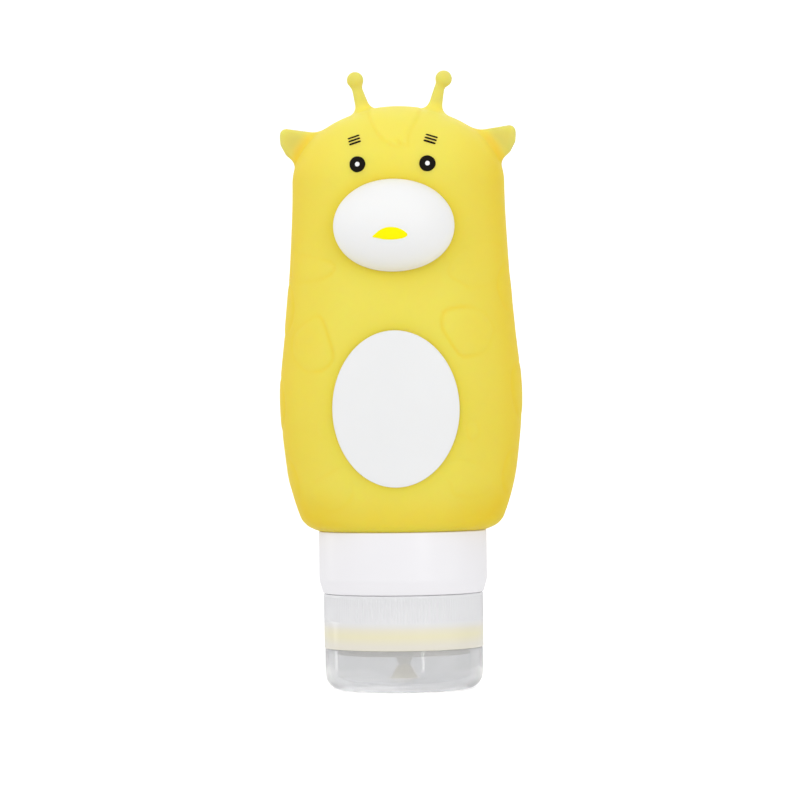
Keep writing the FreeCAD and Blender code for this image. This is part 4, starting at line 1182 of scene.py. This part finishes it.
# Azimuth, elevation, distance, size and power of each light
LIGHTS = {
    "key_light": (-47, 28, 0.9, (0.5, 0.7), 1.65),
    "strip_light": (31, 12, 0.8, (0.06, 0.7), 1.0),
    "fill_light": (68, 5, 0.9, (0.6, 0.8), 0.8),
    "edge_light": (-113, 10, 0.8, (0.1, 0.6), 0.4),
    "top_light": (0, 75, 0.9, (0.8, 0.8), 0.28),
    "back_light": (180, 40, 0.9, (0.8, 0.6), 0.9),
}
AIM_HEIGHT = 0.065
# Height of a direction, and strength of the sky there, at its lower and its upper end
SKY = (-0.5, 0.6, 0.94, 0.85)
VIEW_TURN = math.radians(3.7)
VIEW_ROLL = math.radians(0.72)
VIEW_DISTANCE = 0.842
VIEW_HEIGHT = 0.06295
VIEW_SHIFT = -0.00125
LENS = 173.6
SENSOR = 36.0
for name, (line, half_width, glow) in CARDS.items():
    card, shader = finish(name, Base_Color=CARD_WHITE, Roughness=0.7, Emission_Color=GLOW_WHITE,
                          Emission_Strength=glow)
    points = [(x, y, z) for y, z in line for x in (-half_width, half_width)]
    faces = [(2 * k, 2 * k + 1, 2 * k + 3, 2 * k + 2) for k in range(len(line) - 1)]
    sheet = make_piece(name, np.array(points), faces, card)
    sheet.visible_diffuse = False
    sheet.visible_glossy = name == "stand_card"


def soft_light(name, azimuth, elevation, distance, size, power):
    """Area light round the bottle, turned to its middle."""
    lamp = bpy.data.lights.new(name, "AREA")
    lamp.shape = "RECTANGLE"
    lamp.size, lamp.size_y = size
    lamp.energy = power
    turn, tilt = math.radians(azimuth), math.radians(elevation)
    way = Vector((math.sin(turn) * math.cos(tilt), -math.cos(turn) * math.cos(tilt), math.sin(tilt)))
    place = way * distance
    piece = bpy.data.objects.new(name, lamp)
    piece.location = place + Vector((0, 0, AIM_HEIGHT))
    piece.rotation_euler = place.to_track_quat("Z", "Y").to_euler()
    bpy.context.scene.collection.objects.link(piece)


for name, setting in LIGHTS.items():
    soft_light(name, *setting)
world = bpy.data.worlds.new("studio_world")
world.use_nodes = True
tree = world.node_tree
direction = tree.nodes.new("ShaderNodeTexCoord").outputs["Generated"]
split = tree.nodes.new("ShaderNodeSeparateXYZ")
tree.links.new(direction, split.inputs["Vector"])
background = tree.nodes["Background"]
background.inputs["Color"].default_value = GLOW_WHITE
tree.links.new(fade(tree, split.outputs["Z"], *SKY), background.inputs["Strength"])
bpy.context.scene.world = world
bpy.context.scene.view_settings.view_transform = "Standard"

lens = bpy.data.cameras.new("camera")
lens.lens = LENS
lens.sensor_width = SENSOR
lens.shift_x = VIEW_SHIFT
camera = bpy.data.objects.new("camera", lens)
camera.location = (VIEW_DISTANCE * math.sin(VIEW_TURN), -VIEW_DISTANCE * math.cos(VIEW_TURN), VIEW_HEIGHT)
camera.rotation_euler = Euler((math.pi / 2, VIEW_ROLL, VIEW_TURN))
bpy.context.scene.collection.objects.link(camera)
bpy.context.scene.camera = camera
